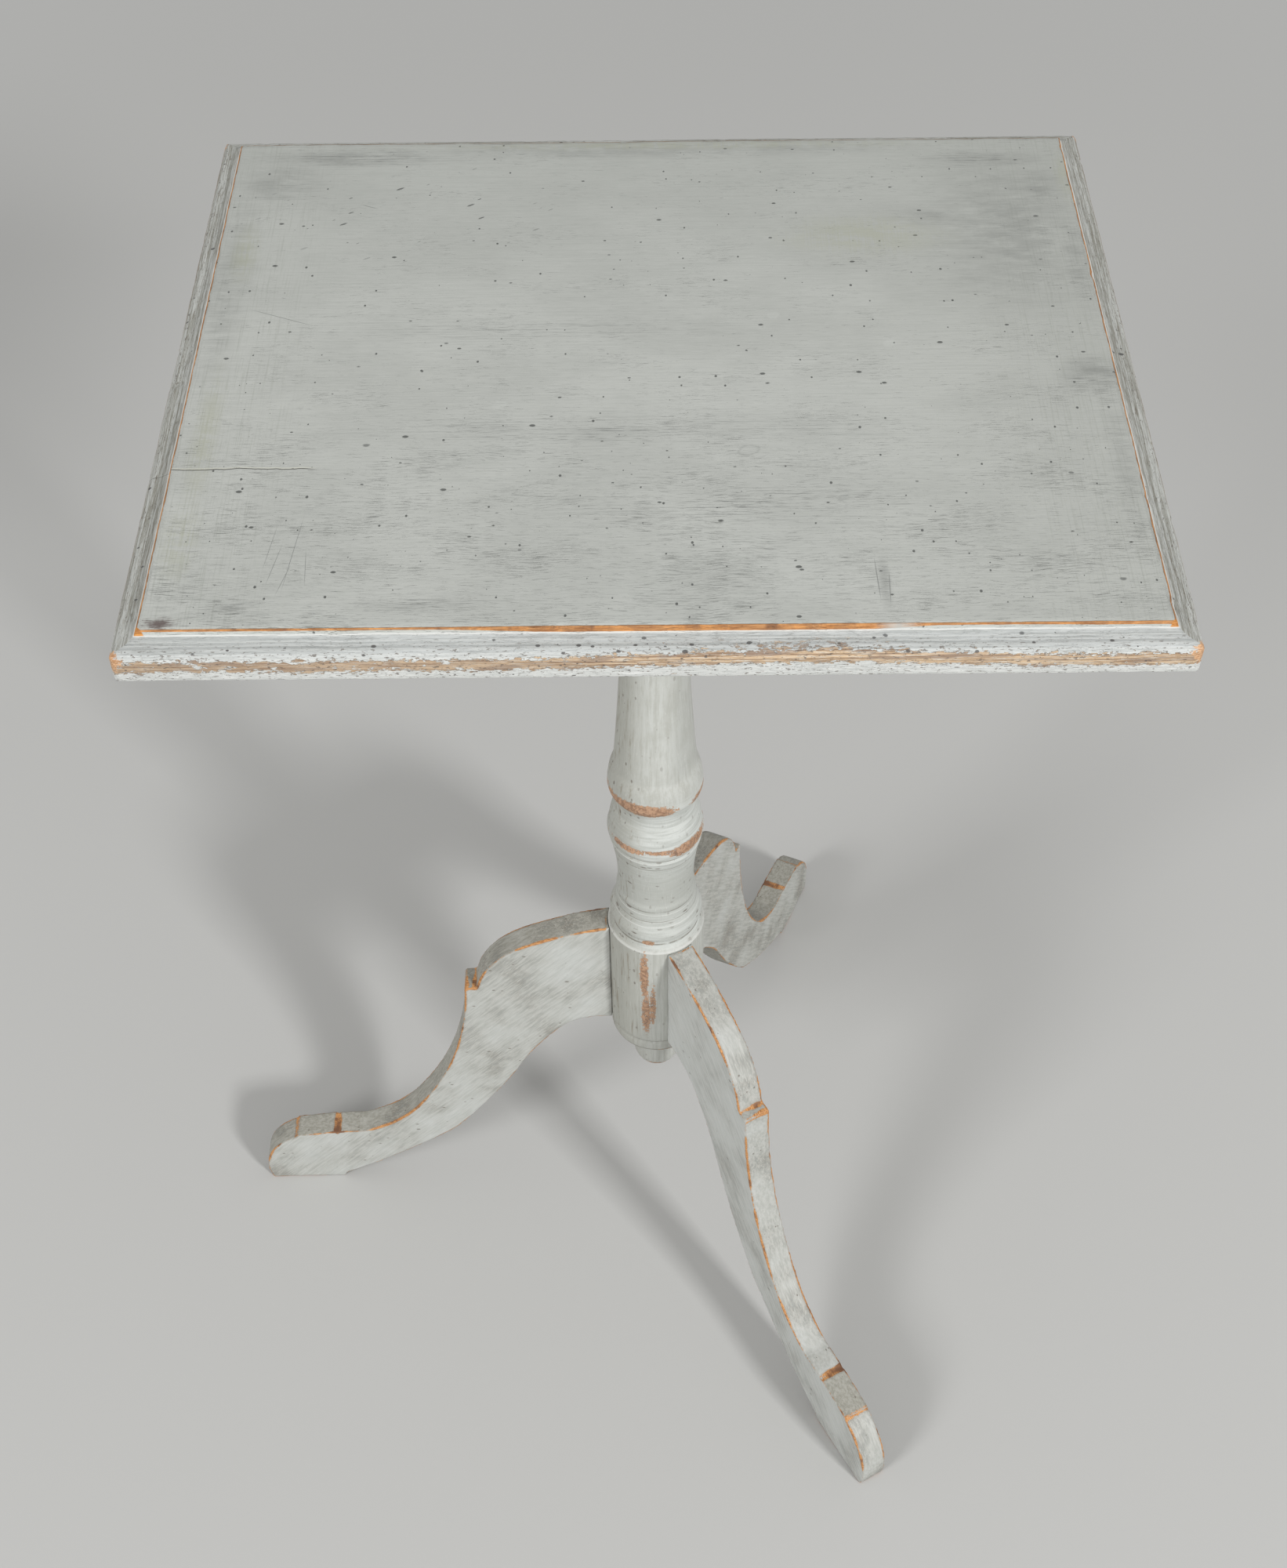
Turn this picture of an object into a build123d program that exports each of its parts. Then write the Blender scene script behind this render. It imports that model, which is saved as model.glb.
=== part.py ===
from build123d import *

import os
from math import cos, radians, sin

# Tilt-top pedestal table, in millimetres, +Z up. The top's long side runs along X and its pivot is
# parallel to X, behind the column. The origin is on the floor, at the centre of the table's own
# footprint box, so the column stands a little off it: the three legs do not reach equally far.

# ---------------------------------------------------------------- driving dimensions

table_height = 740.0

# Top: a raised field with a moulding worked all round it.
top_length = 470.0
top_depth = 401.0
top_thickness = 20.0
moulding_width = 11.5
field_step = 2.2
nose_drop = 9.8
edge_ease = 0.8
corner_radius = 5.0
corner_allowance = 0.1
joint_lines = (-83.0, 59.0)
loose_tongue_length = 70.0
loose_tongue_width = 36.0
loose_tongue_thickness = 5.0
loose_tongue_spread = 150.0

# Legs, as radius from the column's axis and height from the floor.
leg_bearings = {"leg_left": 181.0, "leg_front": 299.5, "leg_rear": 66.0}
leg_thickness = 18.0
leg_reach = 288.0
leg_top = 294.5
leg_bottom = 196.5
heel_radius = 233.0
instep_height = 60.0
toe_height = 55.5
groove_radii = (232.0, 263.0)
groove_width = 2.4
groove_depth = 1.6

# Column.
drum_radius = 31.0
drum_bottom = 196.0
drum_top = 295.3
shaft_top_radius = 17.5
collar_height = 668.0
dovetail_depth = 11.0
dovetail_overrun = 2.0
dovetail_neck = 9.0
dovetail_root = 13.0
dovetail_top = 284.0
tenon_diameter = 26.0
spigot_diameter = 14.0
spigot_length = 38.0
wedge_length = 28.0
wedge_thickness = 3.6
wedge_tip = 1.2

# Head block, battens and pivot.
block_width = 100.0
block_height = 36.0
block_front = 60.0
block_bevel = 8.0
pivot_back = 45.0
pivot_drop = 18.0
roll_clearance = 0.5
side_clearance = 0.5
batten_width = 24.0
batten_length = 330.0
batten_tip_height = 15.0
batten_taper = 60.0
pin_diameter = 12.0
pin_proud = 2.0
pin_reach = 35.0
pin_end_gap = 1.0
running_clearance = 0.05

# Wrought nails, up through the battens into the boards: square, tapering and driven flush.
nail_head = 9.0
nail_head_depth = 2.5
nail_shank = 4.5
nail_tip = 2.5
nail_length = 46.0
nail_rows = (-140.0, -20.0, 130.0)

# Turn button.
button_reach = 38.0
button_width = 15.0
button_thickness = 8.0
button_forward = 34.0
washer_thickness = 1.0
washer_diameter = 12.0
button_shank = 4.0
button_head = 9.0
button_head_height = 2.6
button_screw_hold = 20.0

# ---------------------------------------------------------------- places worked out from them


def toe_corners(bearing):
    """The plan position of a leg's two toe corners, from the column's axis."""
    along = (cos(radians(bearing)), sin(radians(bearing)))
    corners = []
    for side in (-0.5, 0.5):
        x = leg_reach * along[0] - side * leg_thickness * along[1]
        y = leg_reach * along[1] + side * leg_thickness * along[0]
        corners.append((x, y))
    return corners


footprint = [corner for bearing in leg_bearings.values() for corner in toe_corners(bearing)]
footprint += [(-top_length / 2, -top_depth / 2), (top_length / 2, top_depth / 2)]
column_x = -(min(x for x, y in footprint) + max(x for x, y in footprint)) / 2
column_y = -(min(y for x, y in footprint) + max(y for x, y in footprint)) / 2
axis = Vector(column_x, column_y, 0)

underside = table_height - top_thickness
block_bottom = underside - block_height
pivot_y = column_y + pivot_back
pivot_z = underside - pivot_drop
roll_radius = pivot_drop - roll_clearance
batten_inner = block_width / 2 + side_clearance
batten_outer = batten_inner + batten_width
button_x = column_x + (batten_inner + batten_outer) / 2
button_y = column_y - button_forward


def level(height):
    """A horizontal plane centred on the column's axis."""
    return Plane(origin=axis + Vector(0, 0, height), z_dir=(0, 0, 1))


def upright(bearing):
    """A vertical plane through the column's axis: local x runs outward, local y up."""
    out = Vector(cos(radians(bearing)), sin(radians(bearing)), 0)
    return Plane(origin=axis, x_dir=out, z_dir=out.cross(Vector(0, 0, 1)))


def finish(part, name):
    """Label a finished piece and write it."""
    part.label = name
    export_step(part, f"parts/{name}.step")


os.makedirs("parts", exist_ok=True)

# ---------------------------------------------------------------- the top

# The moulding falls from the foot of the step in a shallow hollow, breaks at a small arris and
# rolls over a nose to a nearly upright lower edge.


def moulded_section(length):
    """The section across the top, drawn about the middle, with the moulding at both ends."""
    step = length / 2 - moulding_width
    foot = table_height - field_step
    arris = (step + 0.65 * moulding_width, foot - 2.3)
    nose_end = (length / 2, table_height - nose_drop)
    with BuildSketch() as section:
        with BuildLine():
            Polyline((0, table_height), (step - 0.5, table_height), (step, foot))
            ThreePointArc((step, foot), (step + 0.3 * moulding_width, foot - 1.7), arris)
            TangentArc(nose_end, arris, tangent=(0, 1))
            Polyline(
                nose_end,
                (length / 2 - 0.3, underside + edge_ease),
                (length / 2 - edge_ease, underside),
                (0, underside),
            )
            mirror(about=Plane.YZ)
        make_face()
    return section.sketch


back_plane = Plane(
    origin=axis + Vector(0, top_depth / 2, 0), x_dir=(1, 0, 0), z_dir=(0, -1, 0)
)
left_plane = Plane(
    origin=axis - Vector(top_length / 2, 0, 0), x_dir=(0, 1, 0), z_dir=(1, 0, 0)
)

with BuildPart() as moulded_top:
    with BuildSketch(back_plane):
        add(moulded_section(top_length))
    extrude(amount=top_depth)
    with BuildSketch(left_plane):
        add(moulded_section(top_depth))
    extrude(amount=top_length, mode=Mode.INTERSECT)
    with BuildSketch(level(underside)):
        RectangleRounded(
            top_length + 2 * corner_allowance, top_depth + 2 * corner_allowance, corner_radius
        )
    extrude(amount=top_thickness, mode=Mode.INTERSECT)

board_edges = (-top_depth / 2,) + joint_lines + (top_depth / 2,)
board_names = ("top_board_front", "top_board_middle", "top_board_rear")

with BuildPart() as board_tongues:
    with BuildSketch(level(underside + (top_thickness - loose_tongue_thickness) / 2)):
        for joint in joint_lines:
            with Locations((0, joint)):
                with GridLocations(loose_tongue_spread, 0, 3, 1):
                    Rectangle(loose_tongue_length, loose_tongue_width)
    extrude(amount=loose_tongue_thickness)
finish(board_tongues.part, "board_tongues")

nail_places = [
    axis + Vector(side * (batten_inner + batten_outer) / 2, row, block_bottom)
    for side in (-1, 1)
    for row in nail_rows
]
nail_outline = [
    (-nail_head / 2, 0),
    (nail_head / 2, 0),
    (nail_shank / 2, nail_head_depth),
    (nail_tip / 2, nail_length),
    (-nail_tip / 2, nail_length),
    (-nail_shank / 2, nail_head_depth),
]

with BuildPart() as nail:
    with BuildSketch(Plane.XZ):
        Polygon(*nail_outline, align=None)
    extrude(amount=nail_head / 2, both=True)
    with BuildSketch(Plane.YZ):
        Polygon(*nail_outline, align=None)
    extrude(amount=nail_head / 2, both=True, mode=Mode.INTERSECT)

with BuildPart() as batten_nails:
    with Locations(*nail_places):
        add(nail.part)
finish(batten_nails.part, "batten_nails")

for name, near, far in zip(board_names, board_edges[:-1], board_edges[1:]):
    with BuildPart() as board:
        add(moulded_top.part)
        with BuildSketch(level(underside)):
            with Locations((0, (near + far) / 2)):
                Rectangle(top_length, far - near)
        extrude(amount=top_thickness, mode=Mode.INTERSECT)
        add(board_tongues.part, mode=Mode.SUBTRACT)
        add(batten_nails.part, mode=Mode.SUBTRACT)
    finish(board.part, name)

# ---------------------------------------------------------------- battens and pivots


def batten_plane(side):
    """The batten's inner face, with local x running back along +Y and local y up."""
    x = column_x + (batten_inner if side > 0 else -batten_outer)
    return Plane(origin=(x, column_y, 0), x_dir=(0, 1, 0), z_dir=(1, 0, 0))


for name, side in (("left", -1), ("right", 1)):
    batten_end = batten_length / 2
    with BuildPart() as batten:
        with BuildSketch(batten_plane(side)):
            with BuildLine():
                bottom = Line((0, block_bottom), (batten_end - batten_taper, block_bottom))
                batten_tip = (batten_end, underside - batten_tip_height)
                sweep_up = TangentArc(bottom @ 1, batten_tip, tangent=bottom % 1)
                Polyline(batten_tip, (batten_end, underside), (0, underside))
                mirror(about=Plane.YZ)
            make_face()
        extrude(amount=batten_width)
        pin_bore = Plane(origin=(batten.part.center().X, pivot_y, pivot_z), z_dir=(1, 0, 0))
        with BuildSketch(pin_bore):
            Circle(pin_diameter / 2)
        extrude(amount=batten_width, both=True, mode=Mode.SUBTRACT)
        add(batten_nails.part, mode=Mode.SUBTRACT)
        if side > 0:
            with BuildSketch(Plane(origin=(button_x, button_y, block_bottom), z_dir=(0, 0, 1))):
                Circle(button_shank / 2)
            extrude(amount=button_screw_hold, mode=Mode.SUBTRACT)
    finish(batten.part, f"batten_{name}")

    with BuildPart() as pin:
        outer_face = Plane(
            origin=(column_x + side * batten_outer, pivot_y, pivot_z),
            z_dir=(-side, 0, 0),
        )
        with BuildSketch(outer_face):
            Circle(pin_diameter / 2)
        extrude(amount=batten_width + side_clearance + pin_reach)
        with BuildSketch(outer_face):
            Circle(pin_diameter / 2)
        extrude(amount=-pin_proud)
    finish(pin.part, f"pivot_pin_{name}")

# ---------------------------------------------------------------- the head block

block_side = Plane(
    origin=(column_x - block_width / 2, 0, 0), x_dir=(0, 1, 0), z_dir=(1, 0, 0)
)

with BuildPart() as pivot_block:
    with BuildSketch(block_side):
        with BuildLine():
            front = column_y - block_front
            back = pivot_y + roll_radius
            Polyline(
                (pivot_y, underside),
                (front, underside),
                (front, block_bottom + block_bevel),
                (front + block_bevel, block_bottom),
                (back - block_bevel, block_bottom),
                (back, block_bottom + block_bevel),
                (back, pivot_z),
            )
            RadiusArc((back, pivot_z), (pivot_y, pivot_z + roll_radius), -roll_radius)
            Line((pivot_y, pivot_z + roll_radius), (pivot_y, underside))
        make_face()
    extrude(amount=block_width)
    with BuildSketch(level(block_bottom)):
        Circle(tenon_diameter / 2)
    extrude(amount=block_height, mode=Mode.SUBTRACT)
    for side in (-1, 1):
        face = Plane(
            origin=(column_x + side * block_width / 2, pivot_y, pivot_z), z_dir=(-side, 0, 0)
        )
        with BuildSketch(face):
            Circle(pin_diameter / 2 + running_clearance)
        extrude(amount=pin_reach + pin_end_gap, mode=Mode.SUBTRACT)
finish(pivot_block.part, "pivot_block")

# ---------------------------------------------------------------- legs


def dovetail(bearing):
    """The plan of a leg's sliding dovetail: wider inside the drum than at its skin."""
    run = dovetail_depth + dovetail_overrun
    skin = drum_radius + dovetail_overrun
    slope = (dovetail_root - dovetail_neck) / 2 / dovetail_depth
    neck = dovetail_neck / 2 - dovetail_overrun * slope
    root = dovetail_root / 2
    out = Vector(cos(radians(bearing)), sin(radians(bearing)), 0)
    origin = axis + Vector(0, 0, drum_bottom)
    with BuildSketch(Plane(origin=origin, x_dir=out, z_dir=(0, 0, 1))) as plan:
        Polygon((skin - run, root), (skin - run, -root), (skin, -neck), (skin, neck), align=None)
    return plan.sketch


for name, bearing in leg_bearings.items():
    inner_groove, outer_groove = groove_radii
    half_groove = groove_width / 2
    with BuildPart() as leg:
        with BuildSketch(upright(bearing)):
            with BuildLine():
                # From inside the drum over the crest and down to the notch at the knee.
                shoulder = Line((drum_radius - 8, leg_top + 1), (drum_radius + 6, leg_top - 1.8))
                crest = TangentArc(shoulder @ 1, (86, 276), tangent=shoulder % 1)
                knee = TangentArc(crest @ 1, (119.5, 233), tangent=crest % 1)
                # The knee's small ledge, then the long sweep down to the instep.
                ledge = Polyline(knee @ 1, (120.8, 231.2), (126.8, 231.6), (128, 229.5))
                shin = ThreePointArc(ledge @ 1, (131.8, 191), (142.5, 148))
                sweep_down = TangentArc(shin @ 1, (170.5, 91.5), tangent=shin % 1)
                ankle = TangentArc(sweep_down @ 1, (212, instep_height), tangent=sweep_down % 1)
                # The foot: instep, toe pad between two grooves, and a blunt nose.
                Polyline(
                    ankle @ 1,
                    (inner_groove - half_groove, instep_height - 0.5),
                    (inner_groove, instep_height - 0.5 - groove_depth),
                    (inner_groove + half_groove, instep_height - 0.5),
                    (outer_groove - half_groove, toe_height),
                    (outer_groove, toe_height - 2.2),
                    (outer_groove + half_groove, toe_height - 2.6),
                )
                foremost = (leg_reach, 14)
                TangentArc(
                    foremost, (outer_groove + half_groove, toe_height - 2.6), tangent=(0, 1)
                )
                tip = TangentArc(foremost, (leg_reach - 2, 0), tangent=(0, -1))
                # The sole, the heel's short rise, then the arch back to the column.
                heel = Polyline(tip @ 1, (heel_radius, 0), (heel_radius - 3, 4.5))
                spring = ThreePointArc(heel @ 1, (182.5, 33), (145, 62.5))
                arch = ThreePointArc(spring @ 1, (119.5, 97.5), (97, 136))
                rise = ThreePointArc(arch @ 1, (85.5, 158), (66, 184))
                fork = TangentArc(rise @ 1, (drum_radius + 4, leg_bottom), tangent=rise % 1)
                Polyline(fork @ 1, (drum_radius - 8, leg_bottom), shoulder @ 0)
            make_face()
        extrude(amount=leg_thickness / 2, both=True)
        with BuildSketch(level(leg_bottom - 20)):
            Circle(drum_radius)
        extrude(amount=leg_top - leg_bottom + 40, mode=Mode.SUBTRACT)
        add(dovetail(bearing))
        extrude(amount=dovetail_top - drum_bottom)
    finish(leg.part, name)

# ---------------------------------------------------------------- the column


def arc(line, middle, end):
    """Carry a turned outline on from the end of a line through a middle point."""
    return ThreePointArc(line @ 1, middle, end)


with BuildPart() as column:
    with BuildSketch(upright(0)):
        with BuildLine():
            # The drum, its eased shoulder, and a quirk below the lowest bulge.
            quirk = Polyline(
                (0, drum_bottom),
                (drum_radius, drum_bottom),
                (drum_radius, drum_top - 1),
                (drum_radius - 1.4, drum_top + 0.4),
                (27.5, 299.5),
                (27.5, 303.8),
                (28.4, 304.8),
            )
            bulge = arc(quirk, (29.3, 308), (28.6, 312.5))
            bead = Polyline(
                bulge @ 1, (26.4, 319), (25.2, 327.5), (24.5, 329), (24.9, 331.5), (23.6, 335.5)
            )
            # The neck flares to a thin edge under the middle ring.
            neck = arc(bead, (24.1, 350), (28.2, 379.8))
            edge = Polyline(neck @ 1, (28.2, 381.4), (27.4, 382.6), (29.0, 384.4))
            # Each ring has a worn upright band, an arris and a sloping top.
            middle_ring = Polyline(edge @ 1, (29.6, 388), (29.1, 392.2), (27.6, 401), (24.7, 411))
            cove = Polyline(middle_ring @ 1, (25.1, 418), (27.9, 425.6))
            upper_ring = Polyline(
                cove @ 1, (28.8, 428.5), (28.5, 433.9), (27.7, 440.5), (24.8, 448.2)
            )
            # The shaft tapers in a slight hollow to the collar under the block.
            shaft = arc(upper_ring, (20.4, 516), (shaft_top_radius, collar_height))
            Polyline(
                shaft @ 1,
                (shaft_top_radius + 3.5, collar_height + 3),
                (shaft_top_radius + 3.5, block_bottom),
                (tenon_diameter / 2, block_bottom),
                (tenon_diameter / 2, underside),
                (0, underside),
                (0, drum_bottom),
            )
        make_face()
    revolve(axis=Axis(axis, (0, 0, 1)))
    for bearing in leg_bearings.values():
        add(dovetail(bearing))
        extrude(amount=dovetail_top - drum_bottom, mode=Mode.SUBTRACT)
    with BuildSketch(level(drum_bottom)):
        Circle(spigot_diameter / 2)
    extrude(amount=spigot_length, mode=Mode.SUBTRACT)

# The wedge is driven from above, across the block's grain.
with BuildPart() as tenon_wedge:
    with BuildSketch(Plane(origin=axis, x_dir=(0, 1, 0), z_dir=(1, 0, 0))):
        Polygon(
            (-wedge_thickness / 2, underside),
            (wedge_thickness / 2, underside),
            (wedge_tip / 2, underside - wedge_length),
            (-wedge_tip / 2, underside - wedge_length),
            align=None,
        )
    extrude(amount=tenon_diameter / 2, both=True)
    with BuildSketch(level(block_bottom)):
        Circle(tenon_diameter / 2)
    extrude(amount=block_height, mode=Mode.INTERSECT)
finish(tenon_wedge.part, "tenon_wedge")

with BuildPart() as split_column:
    add(column.part)
    add(tenon_wedge.part, mode=Mode.SUBTRACT)
finish(split_column.part, "column")

# The turned cap closes the leg housings and ends in a button.
with BuildPart() as column_drop:
    with BuildSketch(upright(0)):
        with BuildLine():
            Polyline(
                (spigot_diameter / 2, drum_bottom),
                (30.2, drum_bottom),
                (30.2, 188),
                (27.9, 183.6),
                (15.6, 177),
                (15.6, 152),
                (11.8, 143),
                (0, 139.6),
                (0, drum_bottom + spigot_length - 2),
                (spigot_diameter / 2, drum_bottom + spigot_length - 2),
                (spigot_diameter / 2, drum_bottom),
            )
        make_face()
    revolve(axis=Axis(axis, (0, 0, 1)))
finish(column_drop.part, "column_drop")

# ---------------------------------------------------------------- the turn button

washer_bottom = block_bottom - washer_thickness
button_bottom = washer_bottom - button_thickness

with BuildPart() as button_washer:
    with BuildSketch(Plane(origin=(button_x, button_y, washer_bottom), z_dir=(0, 0, 1))):
        Circle(washer_diameter / 2)
        Circle(button_shank / 2, mode=Mode.SUBTRACT)
    extrude(amount=washer_thickness)
finish(button_washer.part, "button_washer")

# A whittled bar: clipped corners at the tail, drawn in to a blunt tip at the other end.
with BuildPart() as turn_button:
    half_width = button_width / 2
    with BuildSketch(Plane(origin=(button_x, button_y, button_bottom), z_dir=(0, 0, 1))):
        with BuildLine():
            Polyline(
                (0, half_width),
                (half_width - 3, half_width),
                (half_width, half_width - 3),
                (half_width, 8 - button_reach),
                (half_width - 3, -button_reach),
                (0, -button_reach),
            )
            mirror(about=Plane.YZ)
        make_face()
    extrude(amount=button_thickness)
    chamfer(turn_button.faces().sort_by(Axis.Z)[0].edges(), 1.5)
    with BuildSketch(Plane(origin=(button_x, button_y, button_bottom), z_dir=(0, 0, 1))):
        Circle(button_shank / 2 + running_clearance)
    extrude(amount=button_thickness, mode=Mode.SUBTRACT)
finish(turn_button.part, "turn_button")

with BuildPart() as button_screw:
    head_top = button_bottom - 0.1
    with BuildSketch(Plane(origin=(button_x, button_y, 0), x_dir=(1, 0, 0), z_dir=(0, -1, 0))):
        with BuildLine():
            Polyline(
                (0, head_top - button_head_height),
                (button_head / 2, head_top - button_head_height),
                (button_head / 2, head_top),
                (button_shank / 2, head_top),
                (button_shank / 2, block_bottom + button_screw_hold),
                (0, block_bottom + button_screw_hold),
                close=True,
            )
        make_face()
    revolve(axis=Axis((button_x, button_y, 0), (0, 0, 1)))
finish(button_screw.part, "button_screw")
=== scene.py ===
# %% [markdown]
# # A painted tilt-top table
#
# The table stands on three sawn scroll legs housed in a turned column, and its moulded top tips up on a
# block. Everything but the underside is painted a cool grey-white, and the paint has worn through to the
# wood wherever hands, cloths and shoes have rubbed it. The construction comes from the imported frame; this
# lesson makes the visible skins over it, and their worn finish.
#
# The frame is loaded first, because every size and place below is worked out from it.

# %% Load the frame
from contextlib import contextmanager
from math import cos, pi, radians, sin

import bpy
import numpy as np
from mathutils import Matrix, Vector, noise
from mathutils.bvhtree import BVHTree
from mathutils.kdtree import KDTree


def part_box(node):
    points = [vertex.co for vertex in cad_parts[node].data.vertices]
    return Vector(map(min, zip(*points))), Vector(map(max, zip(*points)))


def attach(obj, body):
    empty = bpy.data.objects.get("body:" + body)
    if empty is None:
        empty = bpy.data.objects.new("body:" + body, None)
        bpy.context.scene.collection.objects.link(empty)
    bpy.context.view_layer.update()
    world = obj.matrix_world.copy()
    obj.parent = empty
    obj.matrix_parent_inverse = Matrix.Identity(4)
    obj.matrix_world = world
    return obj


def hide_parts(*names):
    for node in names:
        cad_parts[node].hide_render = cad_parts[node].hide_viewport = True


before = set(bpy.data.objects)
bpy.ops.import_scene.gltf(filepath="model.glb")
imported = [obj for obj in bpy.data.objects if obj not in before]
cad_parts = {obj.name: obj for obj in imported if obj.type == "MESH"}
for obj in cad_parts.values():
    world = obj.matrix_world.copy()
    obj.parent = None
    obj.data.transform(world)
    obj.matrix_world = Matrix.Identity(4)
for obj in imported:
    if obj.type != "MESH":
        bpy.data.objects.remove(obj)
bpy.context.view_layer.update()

MM = 0.001

# %% [markdown]
# ## The view and the light
#
# The camera looks down at the table from standing height. Its place is given from the column's axis, and
# its turn as a heading, a downward tilt and a very small roll. Two large soft lamps stand in front of the
# table, one to each side, so each leg throws two pale shadows; a plain grey world fills the rest.

# %% Camera
column_low, column_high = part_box("column")
axis = (column_low + column_high) / 2
axis.z = 0.0

CAMERA_OFFSET = Vector((-2.9, -837.8, 1375.2)) * MM
CAMERA_HEADING = 0.00493
CAMERA_TILT = 0.84902
CAMERA_ROLL = -0.01246
SENSOR = 36.0
LENS = 48.615

bpy.ops.object.camera_add(location=axis + CAMERA_OFFSET)
camera = bpy.context.object
aim = (
    Matrix.Rotation(CAMERA_HEADING, 3, "Z")
    @ Matrix.Rotation(pi / 2 - CAMERA_TILT, 3, "X")
    @ Matrix.Rotation(CAMERA_ROLL, 3, "Z")
)
camera.rotation_euler = aim.to_euler()
camera.data.sensor_width = SENSOR
camera.data.lens = LENS
bpy.context.scene.camera = camera
print("camera at, mm:", [round(v / MM, 1) for v in camera.location])

# %% Lamps and world
LAMP_DISTANCE = 5.0
LAMP_AIM = axis + Vector((0, 0, 0.4))
WORLD_STRENGTH = 0.5
ROOM_COLOUR = (1.0, 1.0, 0.99, 1.0)


def soft_lamp(name, bearing, elevation, size, power):
    """A square soft lamp on a bearing round the table, aimed at the middle of its stand."""
    b, e = radians(bearing), radians(elevation)
    towards = Vector((sin(b) * cos(e), -cos(b) * cos(e), sin(e)))
    bpy.ops.object.light_add(type="AREA", location=LAMP_AIM + towards * LAMP_DISTANCE)
    lamp = bpy.context.object
    lamp.name = name
    lamp.rotation_euler = towards.to_track_quat("Z", "Y").to_euler()
    lamp.data.shape = "SQUARE"
    lamp.data.size = size
    lamp.data.energy = power
    print(name, "at, mm:", [round(v / MM) for v in lamp.location])


soft_lamp("lamp_right", bearing=41.0, elevation=30.5, size=0.62, power=146.0)
soft_lamp("lamp_left", bearing=-46.0, elevation=31.0, size=1.3, power=98.0)

world = bpy.data.worlds.new("room")
world.use_nodes = True
bpy.context.scene.world = world
room = world.node_tree.nodes["Background"]
room.inputs["Color"].default_value = ROOM_COLOUR
room.inputs["Strength"].default_value = WORLD_STRENGTH
bpy.context.scene.view_settings.view_transform = "Standard"

# %% [markdown]
# ## Shorthand for node trees
#
# A worn finish is a stack of thin coats, and each coat is a colour that shows through a few masks. A
# little class that places a node, sets its settings and wires its inputs keeps each mask readable as
# arithmetic, and each finish as a list of coats.

# %% Colours on the 0 to 255 scale


def srgb(red, green, blue):
    """A colour given on the 0 to 255 scale, as the linear values that shaders use."""
    def linear(value):
        v = value / 255
        return v / 12.92 if v <= 0.04045 else ((v + 0.055) / 1.055) ** 2.4
    return (linear(red), linear(green), linear(blue), 1.0)


# %% Node helper


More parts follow.
